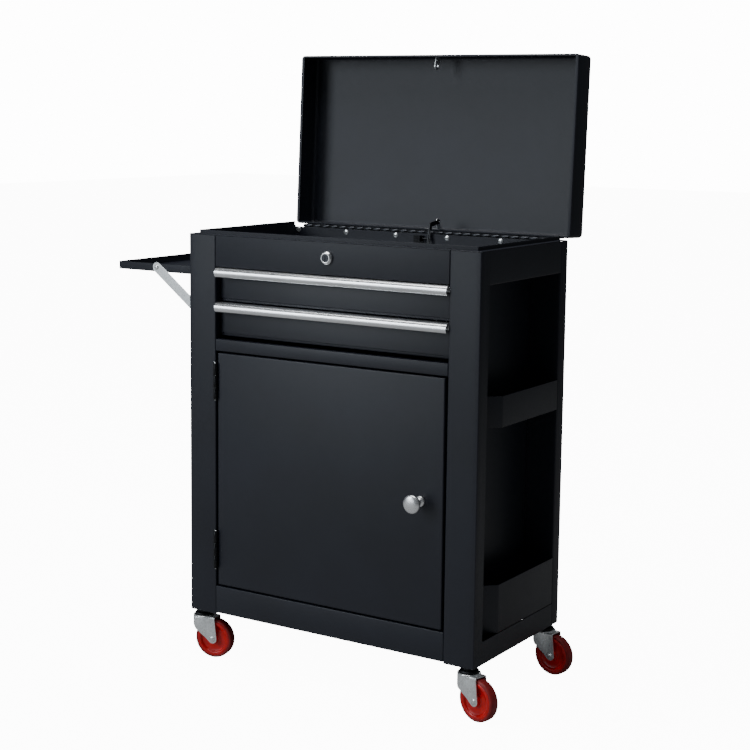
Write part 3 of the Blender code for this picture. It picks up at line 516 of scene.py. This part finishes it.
class CHEST_OT_columns(PieceOperator):
    """Fold the four corner columns of the cabinet"""

    bl_idname = "chest.columns"
    bl_label = "Columns"

    def execute(self, context):
        size = sizes()
        for side, low_x in (("left", 0.0), ("right", WIDTH - COLUMN)):
            bm = folded((low_x, 0, 0), (low_x + COLUMN, 29.25, FRAME_TOP), ("+y", "+z"), size.bend)
            clear_of_till(bm)
            inner_wall = COLUMN if side == "left" else WIDTH - COLUMN
            for vert in bm.verts:
                if abs(vert.co.x - inner_wall) < 0.01 and vert.co.y > 29:
                    vert.co.y = COLUMN_LAP
            finish_sheet(f"column_skin_{side}", bm, f"column_{side}")
            inner = "+x" if side == "left" else "-x"
            bm = folded((low_x, 293.5, 0), (low_x + COLUMN, DEPTH, FRAME_TOP), (inner, "+z"), size.bend)
            fold = low_x + (25.0 if side == "left" else COLUMN - 25.0)
            slice_at(bm, (fold, 0, 0), (1, 0, 0))
            slice_at(bm, (0, DEPTH - 3.0, 0), (0, 1, 0))
            toward_middle = 1.0 if side == "left" else -1.0
            remove_where(bm, lambda m: m.y > DEPTH - 3.0 and (m.x - fold) * toward_middle > 0)
            clear_of_till(bm)
            finish_sheet(f"rear_post_skin_{side}", bm, f"rear_post_{side}")
        return {"FINISHED"}


class CHEST_OT_front_frame(PieceOperator):
    """Fold the kick panel, the rail between drawers and door, the top panel and the side bands"""

    bl_idname = "chest.front_frame"
    bl_label = "Front frame and bands"

    def execute(self, context):
        size = sizes()
        left, right = COLUMN + 0.05, WIDTH - COLUMN - 0.05
        bm = folded((left, 0, 3), (right, 14, 55), ("+y",), size.seam_bend)
        finish_sheet("kick_panel_skin", bm, "kick_panel")
        bm = folded((left, 0, 498), (right, 12, 519.5), ("+y",), size.seam_bend)
        finish_sheet("mid_rail_skin", bm, "mid_rail")
        bm = folded((left, 0, BAND_BOTTOM), (right, 12, FRAME_TOP), ("+y", "+z"), size.seam_bend)
        finish_sheet("top_panel_skin", bm, "top_front_panel")
        for side, low_x, open_side in (("left", 0.0, "+x"), ("right", WIDTH - COLUMN + 0.3, "-x")):
            high_x = low_x + COLUMN - 0.3
            bm = folded(
                (low_x, RECESS_FRONT, BAND_BOTTOM),
                (high_x, 293.45, FRAME_TOP),
                (open_side, "-y", "+y", "+z"),
                size.bend,
            )
            finish_sheet(f"side_band_skin_{side}", bm, f"side_band_{side}")
        bm = folded((0, RECESS_FRONT, 0), (WIDTH, 293.45, 42), ("-y", "+y", "+z"), size.bend)
        finish_sheet("base_pan_skin", bm, "base_pan")
        return {"FINISHED"}


class CHEST_OT_till(PieceOperator):
    """Fold the till: its floor and walls, the raised rim and the ledge that the lid closes on"""

    bl_idname = "chest.till"
    bl_label = "Till and ledge"

    def execute(self, context):
        size = sizes()
        bm = folded((LEDGE, LEDGE, 655), (WIDTH - LEDGE, TILL_BACK, 716.5), ("+z",), size.bend)
        slice_at(bm, (0, 0, 706), (0, 0, 1))
        slice_at(bm, (0, TILL_BACK - 3.0, 0), (0, 1, 0))
        remove_where(bm, lambda m: m.z > 706 and m.y > TILL_BACK - 3.0)
        finish("till_skin", bm, "cabinet", "inside_paint", ["till_liner"], size.sheet, size.edge, False)
        lap = LEDGE - 0.05
        outline = [
            (0.0, 0.0),
            (WIDTH, 0.0),
            (WIDTH, TILL_BACK - 1.0),
            (WIDTH - lap, TILL_BACK - 1.0),
            (WIDTH - lap, lap),
            (lap, lap),
            (lap, TILL_BACK - 1.0),
            (0.0, TILL_BACK - 1.0),
        ]
        bm = bmesh.new()
        outline_plate(bm, outline, 708.8, 710.0, "z")
        finish("till_ledge", bm, "cabinet", "paint", ["till_liner"], edge=0.55)
        bm = bmesh.new()
        for step in (-5, -3, -1, 1, 3, 5):
            centre = (WIDTH / 2 + step * 56.67, TILL_BACK - size.sheet, 700.0)
            turned(bm, dome_profile(size.till_rivet, 1.7), centre, "-y", 24)
        finish("till_rivets", bm, "cabinet", "rivet")
        return {"FINISHED"}


class CHEST_OT_bins(PieceOperator):
    """Fold the two open bins in the right recess"""

    bl_idname = "chest.bins"
    bl_label = "Side bins"

    def execute(self, context):
        size = sizes()
        inner, front, back = WIDTH - COLUMN + 0.3, RECESS_FRONT, 293.2
        corner = 54.7
        outline = [
            (inner, front),
            (WIDTH - corner, front),
            (WIDTH, front + corner),
            (WIDTH, back),
            (inner, back),
        ]
        for which, low, high in (("middle", 404.0, 459.0), ("lower", 42.0, 129.0)):
            bm = bmesh.new()
            outline_plate(bm, outline, low, high, "z")
            bmesh.ops.recalc_face_normals(bm, faces=bm.faces)
            bm.normal_update()
            mouth = facing(bm, ("+z",))
            bends = [edge for edge in bm.edges if not any(face in mouth for face in edge.link_faces)]
            round_edges(bm, bends, size.bend)
            bmesh.ops.delete(bm, geom=facing(bm, ("+z",)), context="FACES")
            finish_sheet(f"bin_skin_{which}", bm, f"bin_{which}")
        return {"FINISHED"}


class CHEST_OT_inner_parts(PieceOperator):
    """Give the plain sheets and fittings inside the cabinet their finishes"""

    bl_idname = "chest.inner_parts"
    bl_label = "Inner sheets"

    def execute(self, context):
        looks = {
            "paint": ("side_panel_left", "side_panel_right", "back_panel"),
            "inside_paint": ("floor_plate", "shelf", "drawer_1_box", "drawer_2_box"),
            "hinge": (
                "drawer_rails_left",
                "drawer_rails_right",
                "lid_hinge_pin",
                "tray_hinge_body_leaf",
                # The lock's plug takes the dark hinge steel as painted shade: it stands in for the shade
                # inside its recessed keyhole, which is not modelled.
                "lock_plug",
            ),
            "zinc": ("tray_hinge_tray_leaf", "stay_bracket", "lock_cam", "lid_hook"),
            "dark": ("stay_guide", "stay_arm"),
        }
        for look, names in looks.items():
            for name in names:
                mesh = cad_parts[name].data
                mesh.materials.clear()
                mesh.materials.append(finish_of(look))
        return {"FINISHED"}


# ---------------------------------------------------------------- drawers


class CHEST_OT_drawers(PieceOperator):
    """Fold the drawer fronts with their lower lips and draw the polished pull bars across them"""

    bl_idname = "chest.drawers"
    bl_label = "Drawers and pulls"

    def execute(self, context):
        size = sizes()
        for number, (top, lip) in enumerate(((650.5, 588.8), (587.0, 525.0)), start=1):
            body = f"drawer_{number}"
            bm = folded((62, 13.5, lip), (548, 25.5, top - 0.3), ("+y",), 1.2, 3)
            slice_at(bm, (0, 0, lip + 5.6), (0, 0, 1))
            slice_at(bm, (0, 0, lip + 4.6), (0, 0, 1))
            low_front = [vert for vert in bm.verts if vert.co.z < lip + 4.7 and vert.co.y < 15.5]
            bmesh.ops.translate(bm, vec=(0, 1.3, 0), verts=low_front)
            nodes = [f"drawer_{number}_front"]
            finish(f"drawer_front_skin_{number}", bm, body, "paint", nodes, size.sheet, 0.2, False)
            self.pull(number, top, body)
        return {"FINISHED"}

    def pull(self, number, top, body):
        """A bar with a domed face, open below for the fingers, with a rolled lower lip."""
        back = 13.2
        nose = (back - 11.0, top - 9.5)
        outer = arc(nose, 9.5, 90, 235, 28)
        inner = arc(nose, 7.9, 235, 90, 20)
        foot = top - 12.5
        outline = [(back, foot), (back, top), *outer, *inner, (back - 1.6, top - 1.6), (back - 1.6, foot)]
        bm = bmesh.new()
        outline_plate(bm, outline, 62.0, 548.0, "x")
        nodes = [f"drawer_{number}_pull"]
        finish(f"drawer_pull_bar_{number}", bm, body, "bar", nodes, edge=0.35, smooth=30.0)


# ---------------------------------------------------------------- door


class CHEST_OT_door(PieceOperator):
    """Fold the door panel and turn its knob"""

    bl_idname = "chest.door"
    bl_label = "Door and knob"

    def execute(self, context):
        size = sizes()
        bm = folded((65, 0, 58.5), (545, 18, 494.5), ("+y",), size.bend, 5)
        finish_sheet("door_skin", bm, "door_panel", "door")
        crown = [
            (16.0 * math.sin(math.radians(angle)), 29.0 + 5.0 * math.cos(math.radians(angle)))
            for angle in range(10, 91, 10)
        ]
        profile = [
            (0.0, 34.0),
            *crown,
            (16.0, 27.4),
            (15.6, 25.6),
            (14.4, 24.0),
            (12.0, 22.2),
            (8.6, 20.2),
            (6.2, 17.6),
            (5.2, 14.0),
            (5.0, 9.0),
            (5.6, 6.0),
            (7.4, 4.6),
            (9.0, 3.8),
            (9.5, 2.8),
            (9.5, 0.3),
            (2.4, 0.3),
            (2.4, -7.0),
            (0.0, -7.6),
        ]
        bm = bmesh.new()
        turned(bm, profile, (500.0, 0.0, 278.0), "-y", size.segments)
        finish("knob_turned", bm, "door", "satin_chrome", ["door_knob"], smooth=60.0)
        return {"FINISHED"}


class CHEST_OT_door_hinges(PieceOperator):
    """Roll the knuckles and leaves of the door's two hinges"""

    bl_idname = "chest.door_hinges"
    bl_label = "Door hinges"

    def execute(self, context):
        x, y = DOOR_AXIS
        for which, low, high in (("upper", 408.0, 476.0), ("lower", 90.0, 161.0)):
            third = (high - low) / 3
            bm = bmesh.new()
            tube(bm, 3.7, 1.85, low, low + third - 0.3, (x, y, 0), "z", 28)
            tube(bm, 3.7, 1.85, high - third + 0.3, high, (x, y, 0), "z", 28)
            block(bm, (60.3, -1.6, low), (61.5, 1.9, low + third - 0.3))
            block(bm, (60.3, -1.6, high - third + 0.3), (61.5, 1.9, high))
            name = f"hinge_frame_knuckles_{which}"
            finish(name, bm, "cabinet", "dark", [f"door_hinge_{which}_frame"], smooth=50.0)
            bm = bmesh.new()
            top, foot = high + 1.5, low - 1.5
            pin = [(0.0, top), (1.2, top), (1.8, high + 0.9), (1.8, low - 0.9), (1.2, foot), (0.0, foot)]
            turned(bm, pin, (x, y, 0), "z", 24)
            finish(f"hinge_pin_{which}", bm, "cabinet", "rivet", [f"door_hinge_{which}_frame"], smooth=50.0)
            bm = bmesh.new()
            tube(bm, 3.7, 1.95, low + third + 0.3, high - third - 0.3, (x, y, 0), "z", 28)
            block(bm, (63.5, -1.4, low + third + 0.3), (64.7, 15.0, high - third - 0.3))
            finish(f"hinge_door_leaf_{which}", bm, "door", "dark", [f"door_hinge_{which}_leaf"], smooth=50.0)
        return {"FINISHED"}


class CHEST_OT_lock(PieceOperator):
    """Turn the lock's bezel and barrel"""

    bl_idname = "chest.lock"
    bl_label = "Lock"

    def execute(self, context):
        profile = [
            (6.7, 6.4),
            (7.3, 7.0),
            (8.8, 7.0),
            (9.8, 6.3),
            (10.2, 5.2),
            (11.1, 4.6),
            (11.5, 3.9),
            (11.5, 0.3),
            (9.0, 0.3),
            (9.0, -15.0),
            (6.7, -15.0),
        ]
        bm = bmesh.new()
        turned(bm, profile, (305.0, 0.0, 682.0), "-y", sizes().segments, ring=True)
        finish("lock_bezel", bm, "cabinet", "chrome", ["lock_barrel"], smooth=50.0)
        return {"FINISHED"}


# ---------------------------------------------------------------- lid


class CHEST_OT_lid(PieceOperator):
    """Press the lid: a shallow tray with soft bends and a hem turned in round its mouth"""

    bl_idname = "chest.lid"
    bl_label = "Lid"

    def execute(self, context):
        size = sizes()
        bm = bmesh.new()
        block(bm, (3.0, -3.5, LID_MOUTH), (WIDTH - 3.0, 326.6, LID_TOP))
        bm.normal_update()
        mouth = facing(bm, ("-z",))
        bmesh.ops.inset_individual(bm, faces=mouth, thickness=size.front_hem)
        for vert in mouth[0].verts:
            vert.co.x += math.copysign(size.side_hem - size.front_hem, WIDTH / 2 - vert.co.x)
        bmesh.ops.delete(bm, geom=mouth, context="FACES_ONLY")
        bends = [edge for edge in bm.edges if max(vert.co.z for vert in edge.verts) > LID_TOP - 0.1]
        round_edges(bm, bends, size.lid_bend, 6)
        lip = [
            edge
            for edge in bm.edges
            if len(edge.link_faces) == 2
            and max(vert.co.z for vert in edge.verts) < LID_MOUTH + 0.6
            and edge.calc_face_angle(0) > 1
        ]
        round_edges(bm, lip, 1.6, 3)
        open_lid(bm)
        finish("lid_skin", bm, "lid", "inside_paint", ["lid_shell"], size.sheet, size.edge, False, 60.0)
        return {"FINISHED"}


class CHEST_OT_lid_hinge(PieceOperator):
    """Roll the lid's long hinge: two cranked leaves whose short knuckles take turns on the pin"""

    bl_idname = "chest.lid_hinge"
    bl_label = "Lid hinge"

    def execute(self, context):
        pitch = sizes().knuckle_pitch
        left, right = 25.0, 585.0
        count = round((right - left) / pitch)
        y, z = LID_AXIS
        for first, low, high, crank, body, name in (
            (0, (318.8, 688.0), (320.0, 704.8), ((318.8, 703.4), (y, 704.8)), "cabinet", "body"),
            (1, (326.9, 710.0), (328.1, 730.4), ((326.9, 710.0), (y, 711.4)), "lid", "lid"),
        ):
            bm = bmesh.new()
            block(bm, (left, *low), (right, *high))
            if body == "cabinet":
                block(bm, (left, high[0], crank[0][1]), (right, y - 4.0, crank[1][1]))
            for index in range(first, count, 2):
                start, end = left + index * pitch + 0.3, left + (index + 1) * pitch - 0.3
                block(bm, (start, *crank[0]), (end, *crank[1]))
                tube(bm, 3.4, 1.55, start, end, (0.0, y, z), "x", 16, 0.3)
            if body == "lid":
                open_lid(bm)
            finish(f"piano_hinge_{name}_leaf", bm, body, "hinge", [f"lid_hinge_{name}_leaf"], smooth=50.0)
        return {"FINISHED"}


# ---------------------------------------------------------------- side tray


class CHEST_OT_tray(PieceOperator):
    """Fold the side tray and its two braces, with a domed rivet at each pivot"""

    bl_idname = "chest.tray"
    bl_label = "Folding side tray"

    def execute(self, context):
        size = sizes()
        bm = folded((-198.0, 31.5, 630.0), (-2.4, 291.0, 645.0), ("+z",), 1.8)
        finish_sheet("tray_skin", bm, "side_tray", "tray")
        pivot = (-103.0, 638.5)
        slope = math.radians(37.0)
        end = (pivot[0] + 138.0 * math.cos(slope), pivot[1] - 138.0 * math.sin(slope))
        # The rear brace's outer head lies nearly flush, to clear the rear post when the tray is folded.
        for which, start, outward, inward, rise in (
            ("front", 29.6, "-y", "+y", 2.6),
            ("rear", 291.3, "+y", "-y", 0.45),
        ):
            bm = bmesh.new()
            outline_plate(bm, bar_outline(pivot, end, 9.5), start, start + 1.6)
            body = f"{which}_brace"
            finish(f"brace_bar_{which}", bm, body, "zinc", [f"brace_{which}"], edge=0.4)
            bm = bmesh.new()
            outer = start if outward == "-y" else start + 1.6
            inner = start + 1.6 if outward == "-y" else start
            turned(bm, dome_profile(size.brace_rivet, rise), (pivot[0], outer, pivot[1]), outward, 32)
            turned(bm, dome_profile(size.brace_rivet, 2.2), (end[0], inner, end[1]), inward, 32)
            finish(f"brace_rivets_{which}", bm, body, "rivet")
        return {"FINISHED"}


# ---------------------------------------------------------------- casters


def place_caster(bm, corner):
    """Turns and moves what was drawn about a swivel axis to its corner."""
    x = CASTER_INSET if corner.endswith("left") else WIDTH - CASTER_INSET
    y = CASTER_INSET if corner.startswith("front") else DEPTH - CASTER_INSET
    turn = Matrix.Rotation(math.radians(CASTER_YAWS[corner]), 3, "Z")
    bmesh.ops.rotate(bm, cent=(0.0, 0.0, 0.0), matrix=turn, verts=bm.verts)
    bmesh.ops.translate(bm, vec=(x, y, 0.0), verts=bm.verts)


class CHEST_OT_casters(PieceOperator):
    """Press the caster forks, turn their stems and mould the wheels"""

    bl_idname = "chest.casters"
    bl_label = "Casters"

    def execute(self, context):
        for corner in CASTER_YAWS:
            self.stem(corner)
            self.fork(corner)
            self.wheel(corner)
        return {"FINISHED"}

    def stem(self, corner):
        profile = [
            (0.0, 13.8),
            (4.8, 13.8),
            (5.0, 13.4),
            (5.0, -0.3),
            (12.0, -0.3),
            (12.0, -4.0),
            (13.0, -4.8),
            (15.6, -5.3),
            (17.0, -6.4),
            (17.5, -8.0),
            (17.5, -10.7),
            (17.0, -11.6),
            (0.0, -11.6),
        ]
        bm = bmesh.new()
        turned(bm, profile, (0, 0, 0), "z", 48)
        place_caster(bm, corner)
        finish(f"stem_turned_{corner}", bm, "cabinet", "dark", [f"caster_stem_{corner}"], smooth=50.0)

    def fork(self, corner):
        """A crown and a skirt in one pressing, cut back to two cheeks that taper to the axle."""
        round_back = arc((0.0, 0.0), 20.6, -118, -242, 18)
        plan = [(31.5, -14.0), (9.0, -14.0), *round_back, (9.0, 14.0), (31.5, 14.0)]
        bm = bmesh.new()
        crown = bm.faces.new([bm.verts.new((x, y, -12.3)) for x, y in reversed(plan)])
        rim = [edge for edge in crown.edges if min(vert.co.x for vert in edge.verts) < 31.0]
        skirt = bmesh.ops.extrude_edge_only(bm, edges=rim)["geom"]
        lowered = [element for element in skirt if isinstance(element, bmesh.types.BMVert)]
        bmesh.ops.translate(bm, vec=(0.0, 0.0, -52.0), verts=lowered)
        bmesh.ops.recalc_face_normals(bm, faces=bm.faces)
        bm.normal_update()
        if crown.normal.z < 0:
            bmesh.ops.reverse_faces(bm, faces=bm.faces)
        round_edges(bm, rim, 2.6, 4)
        slice_at(bm, (27.2, 0.0, 0.0), (1, 0, 0))
        remove_where(bm, lambda m: m.x > 27.2 and m.z > -15.0)
        back_angle, front_angle = 228.0, 366.4
        for step in range(15):
            angle = math.radians(back_angle + (front_angle - back_angle) * step / 14)
            normal = Vector((math.cos(angle), 0.0, math.sin(angle)))
            point = AXLE + 8.5 * normal
            slice_at(bm, point, normal)
            remove_where(bm, lambda m: (m - point).dot(normal) > 0)
        place_caster(bm, corner)
        name = f"fork_pressed_{corner}"
        finish(name, bm, f"fork_{corner}", "zinc", [f"caster_fork_{corner}"], 2.0, 0.35, False, 60.0)
        bm = bmesh.new()
        race = [
            (17.6, -12.6),
            (20.3, -12.6),
            (20.6, -12.0),
            (20.4, -10.9),
            (19.4, -10.2),
            (18.2, -10.2),
            (17.9, -11.0),
        ]
        turned(bm, race, (0, 0, 0), "z", 48, ring=True)
        turned(bm, dome_profile(5.2, 1.9, -1.0), (AXLE.x, -14.0, AXLE.z), "-y", 32)
        turned(bm, dome_profile(5.2, 1.9, -1.0), (AXLE.x, 14.0, AXLE.z), "+y", 32)
        turned(bm, [(0.0, -12.4), (3.4, -12.4), (3.4, 12.4), (0.0, 12.4)], tuple(AXLE), "-y", 24)
        place_caster(bm, corner)
        finish(f"fork_race_and_axle_{corner}", bm, f"fork_{corner}", "rivet", smooth=50.0)

    def wheel(self, corner):
        face = [
            (3.8, 10.6),
            (7.6, 10.6),
            (8.6, 10.2),
            (9.2, 9.2),
            (9.8, 7.0),
            (11.6, 6.2),
            (22.6, 5.8),
            (24.6, 6.6),
            (26.0, 8.8),
            (27.2, 9.8),
            (28.6, 10.0),
            (31.2, 10.0),
            (32.2, 9.7),
        ]
        tread = [(32.6, 9.2), (33.1, 9.5), (34.8, 9.4), (36.4, 8.3), (37.2, 6.6), (37.5, 4.6), (37.5, 0.0)]
        side = face + tread
        profile = side + [(radius, -height) for radius, height in reversed(side[:-1])]
        bm = bmesh.new()
        turned(bm, profile, tuple(AXLE), "-y", 72, ring=True)
        bmesh.ops.recalc_face_normals(bm, faces=bm.faces)
        for polygon in bm.faces:
            middle = polygon.calc_center_median() - AXLE
            polygon.material_index = int(math.hypot(middle.x, middle.z) > TREAD_START)
        place_caster(bm, corner)
        name, body = f"wheel_moulded_{corner}", f"wheel_{corner}"
        finish(name, bm, body, ("red", "tread"), [f"caster_wheel_{corner}"], smooth=35.0)


# ---------------------------------------------------------------- studio


def studio_light(name, place, aim, width, height, power, tint=(1.0, 1.0, 1.0)):
    lamp = bpy.data.lights.new(name, "AREA")
    lamp.shape = "RECTANGLE"
    lamp.size = width
    lamp.size_y = height
    lamp.energy = power
    lamp.color = tint
    holder = bpy.data.objects.new(name, lamp)
    bpy.context.scene.collection.objects.link(holder)
    holder.location = place
    holder.rotation_euler = (Vector(aim) - Vector(place)).to_track_quat("-Z", "Y").to_euler()
    return holder


class CHEST_OT_studio(PieceOperator):
    """Lay the pale floor and set the soft lights and the camera"""

    bl_idname = "chest.studio"
    bl_label = "Floor, lights and camera"

    def execute(self, context):
        self.floor()
        self.lights(context)
        self.camera(context)
        return {"FINISHED"}

    def floor(self):
        mesh = bpy.data.meshes.new("studio_floor")
        bm = bmesh.new()
        bmesh.ops.create_grid(bm, x_segments=2, y_segments=2, size=14.0)
        bmesh.ops.translate(bm, vec=(0.0, 4.0, -0.0004), verts=bm.verts)
        bm.to_mesh(mesh)
        bm.free()
        mesh.materials.append(self.floor_finish())
        floor = bpy.data.objects.new("studio_floor", mesh)
        bpy.context.scene.collection.objects.link(floor)

    def floor_finish(self):
        """A pale floor that looks bright but throws little light back up at the chest."""
        material, tree, shader = new_finish("pale_floor", (0.8, 0.8, 0.8), 0.0, 0.7)
        drift = grain(tree, 0.7, 2.0)
        shade = ramp(tree, drift, (0.79, 0.79, 0.79), (0.81, 0.81, 0.81))
        texture = bump(tree, grain(tree, 60.0, 3.0), 0.05, 0.2)
        connect(tree, shader, shade, spread(tree, drift, 0.65, 0.75), texture)
        shader.inputs["Emission Color"].default_value = (1.0, 1.0, 1.0, 1.0)
        shader.inputs["Emission Strength"].default_value = 12.0
        quiet = node(tree, "ShaderNodeBsdfDiffuse", Color=(0.4, 0.4, 0.4, 1.0))
        path = node(tree, "ShaderNodeLightPath")
        mix = node(tree, "ShaderNodeMixShader")
        tree.links.new(path.outputs["Is Camera Ray"], mix.inputs[0])
        tree.links.new(quiet.outputs["BSDF"], mix.inputs[1])
        tree.links.new(shader.outputs["BSDF"], mix.inputs[2])
        tree.links.new(mix.outputs["Shader"], tree.nodes["Material Output"].inputs["Surface"])
        return material

    def lights(self, context):
        """A bright backdrop, a dim surround, and softboxes to the front left and overhead."""
        world = bpy.data.worlds.new("pale_studio")
        context.scene.world = world
        world.use_nodes = True
        tree = world.node_tree
        surround = tree.nodes["Background"]
        surround.inputs["Color"].default_value = (0.88, 0.94, 1.0, 1.0)
        surround.inputs["Strength"].default_value = 0.08
        backdrop = node(tree, "ShaderNodeBackground", Color=(1.0, 1.0, 1.0, 1.0), Strength=14.0)
        path = node(tree, "ShaderNodeLightPath")
        mix = node(tree, "ShaderNodeMixShader")
        tree.links.new(path.outputs["Is Camera Ray"], mix.inputs[0])
        tree.links.new(surround.outputs["Background"], mix.inputs[1])
        tree.links.new(backdrop.outputs["Background"], mix.inputs[2])
        tree.links.new(mix.outputs["Shader"], tree.nodes["World Output"].inputs["Surface"])
        studio_light("key_softbox", (-2.3, -3.5, 2.3), (0.0, 0.0, 0.75), 1.5, 1.9, 62.0, (0.88, 0.94, 1.0))
        studio_light("low_fill", (-1.6, -3.4, 0.75), (0.0, 0.0, 0.5), 2.2, 0.9, 15.0, (0.88, 0.94, 1.0))
        studio_light("top_softbox", (-0.3, -0.6, 3.8), (0.0, 0.0, 0.6), 2.6, 2.0, 90.0)

    def camera(self, context):
        """The camera stands in front and to the right, a little above the cabinet's top."""
        lens = bpy.data.cameras.new("view_camera")
        lens.sensor_width = 36.0
        lens.lens = 78.46
        lens.shift_x = 0.0017
        lens.shift_y = -0.0491
        lens.clip_end = 100.0
        holder = bpy.data.objects.new("view_camera", lens)
        context.scene.collection.objects.link(holder)
        turn = (
            Matrix.Rotation(math.radians(32.53), 4, "Z")
            @ Matrix.Rotation(math.radians(81.99), 4, "X")
            @ Matrix.Rotation(math.radians(0.66), 4, "Z")
        )
        place = CORNER + Vector((1892.1, -2335.4, 939.9)) * MM
        holder.matrix_world = Matrix.Translation(place) @ turn
        context.scene.camera = holder


# ---------------------------------------------------------------- panel and start


PIECES = (
    CHEST_OT_columns,
    CHEST_OT_front_frame,
    CHEST_OT_till,
    CHEST_OT_bins,
    CHEST_OT_inner_parts,
    CHEST_OT_drawers,
    CHEST_OT_door,
    CHEST_OT_door_hinges,
    CHEST_OT_lock,
    CHEST_OT_lid,
    CHEST_OT_lid_hinge,
    CHEST_OT_tray,
    CHEST_OT_casters,
    CHEST_OT_studio,
)


class CHEST_PT_sidebar(bpy.types.Panel):
    """Lists the chest's sizes, colours and pieces"""

    bl_idname = "CHEST_PT_sidebar"
    bl_label = "Rolling Tool Chest"
    bl_space_type = "VIEW_3D"
    bl_region_type = "UI"
    bl_category = "Tool Chest"

    def draw(self, context):
        layout = self.layout
        for group in (context.scene.chest_sizes, context.scene.chest_colours):
            column = layout.column(align=True)
            for name in group.__annotations__:
                column.prop(group, name)
        for piece in PIECES:
            layout.operator(piece.bl_idname)


CLASSES = (ChestSizes, ChestColours, *PIECES, CHEST_PT_sidebar)


def register():
    for each in CLASSES:
        bpy.utils.register_class(each)
    bpy.types.Scene.chest_sizes = PointerProperty(type=ChestSizes)
    bpy.types.Scene.chest_colours = PointerProperty(type=ChestColours)


def unregister():
    del bpy.types.Scene.chest_colours
    del bpy.types.Scene.chest_sizes
    for each in reversed(CLASSES):
        bpy.utils.unregister_class(each)


def main():
    register()
    for piece in PIECES:
        group, name = piece.bl_idname.split(".")
        getattr(getattr(bpy.ops, group), name)()


if __name__ == "__main__":
    main()
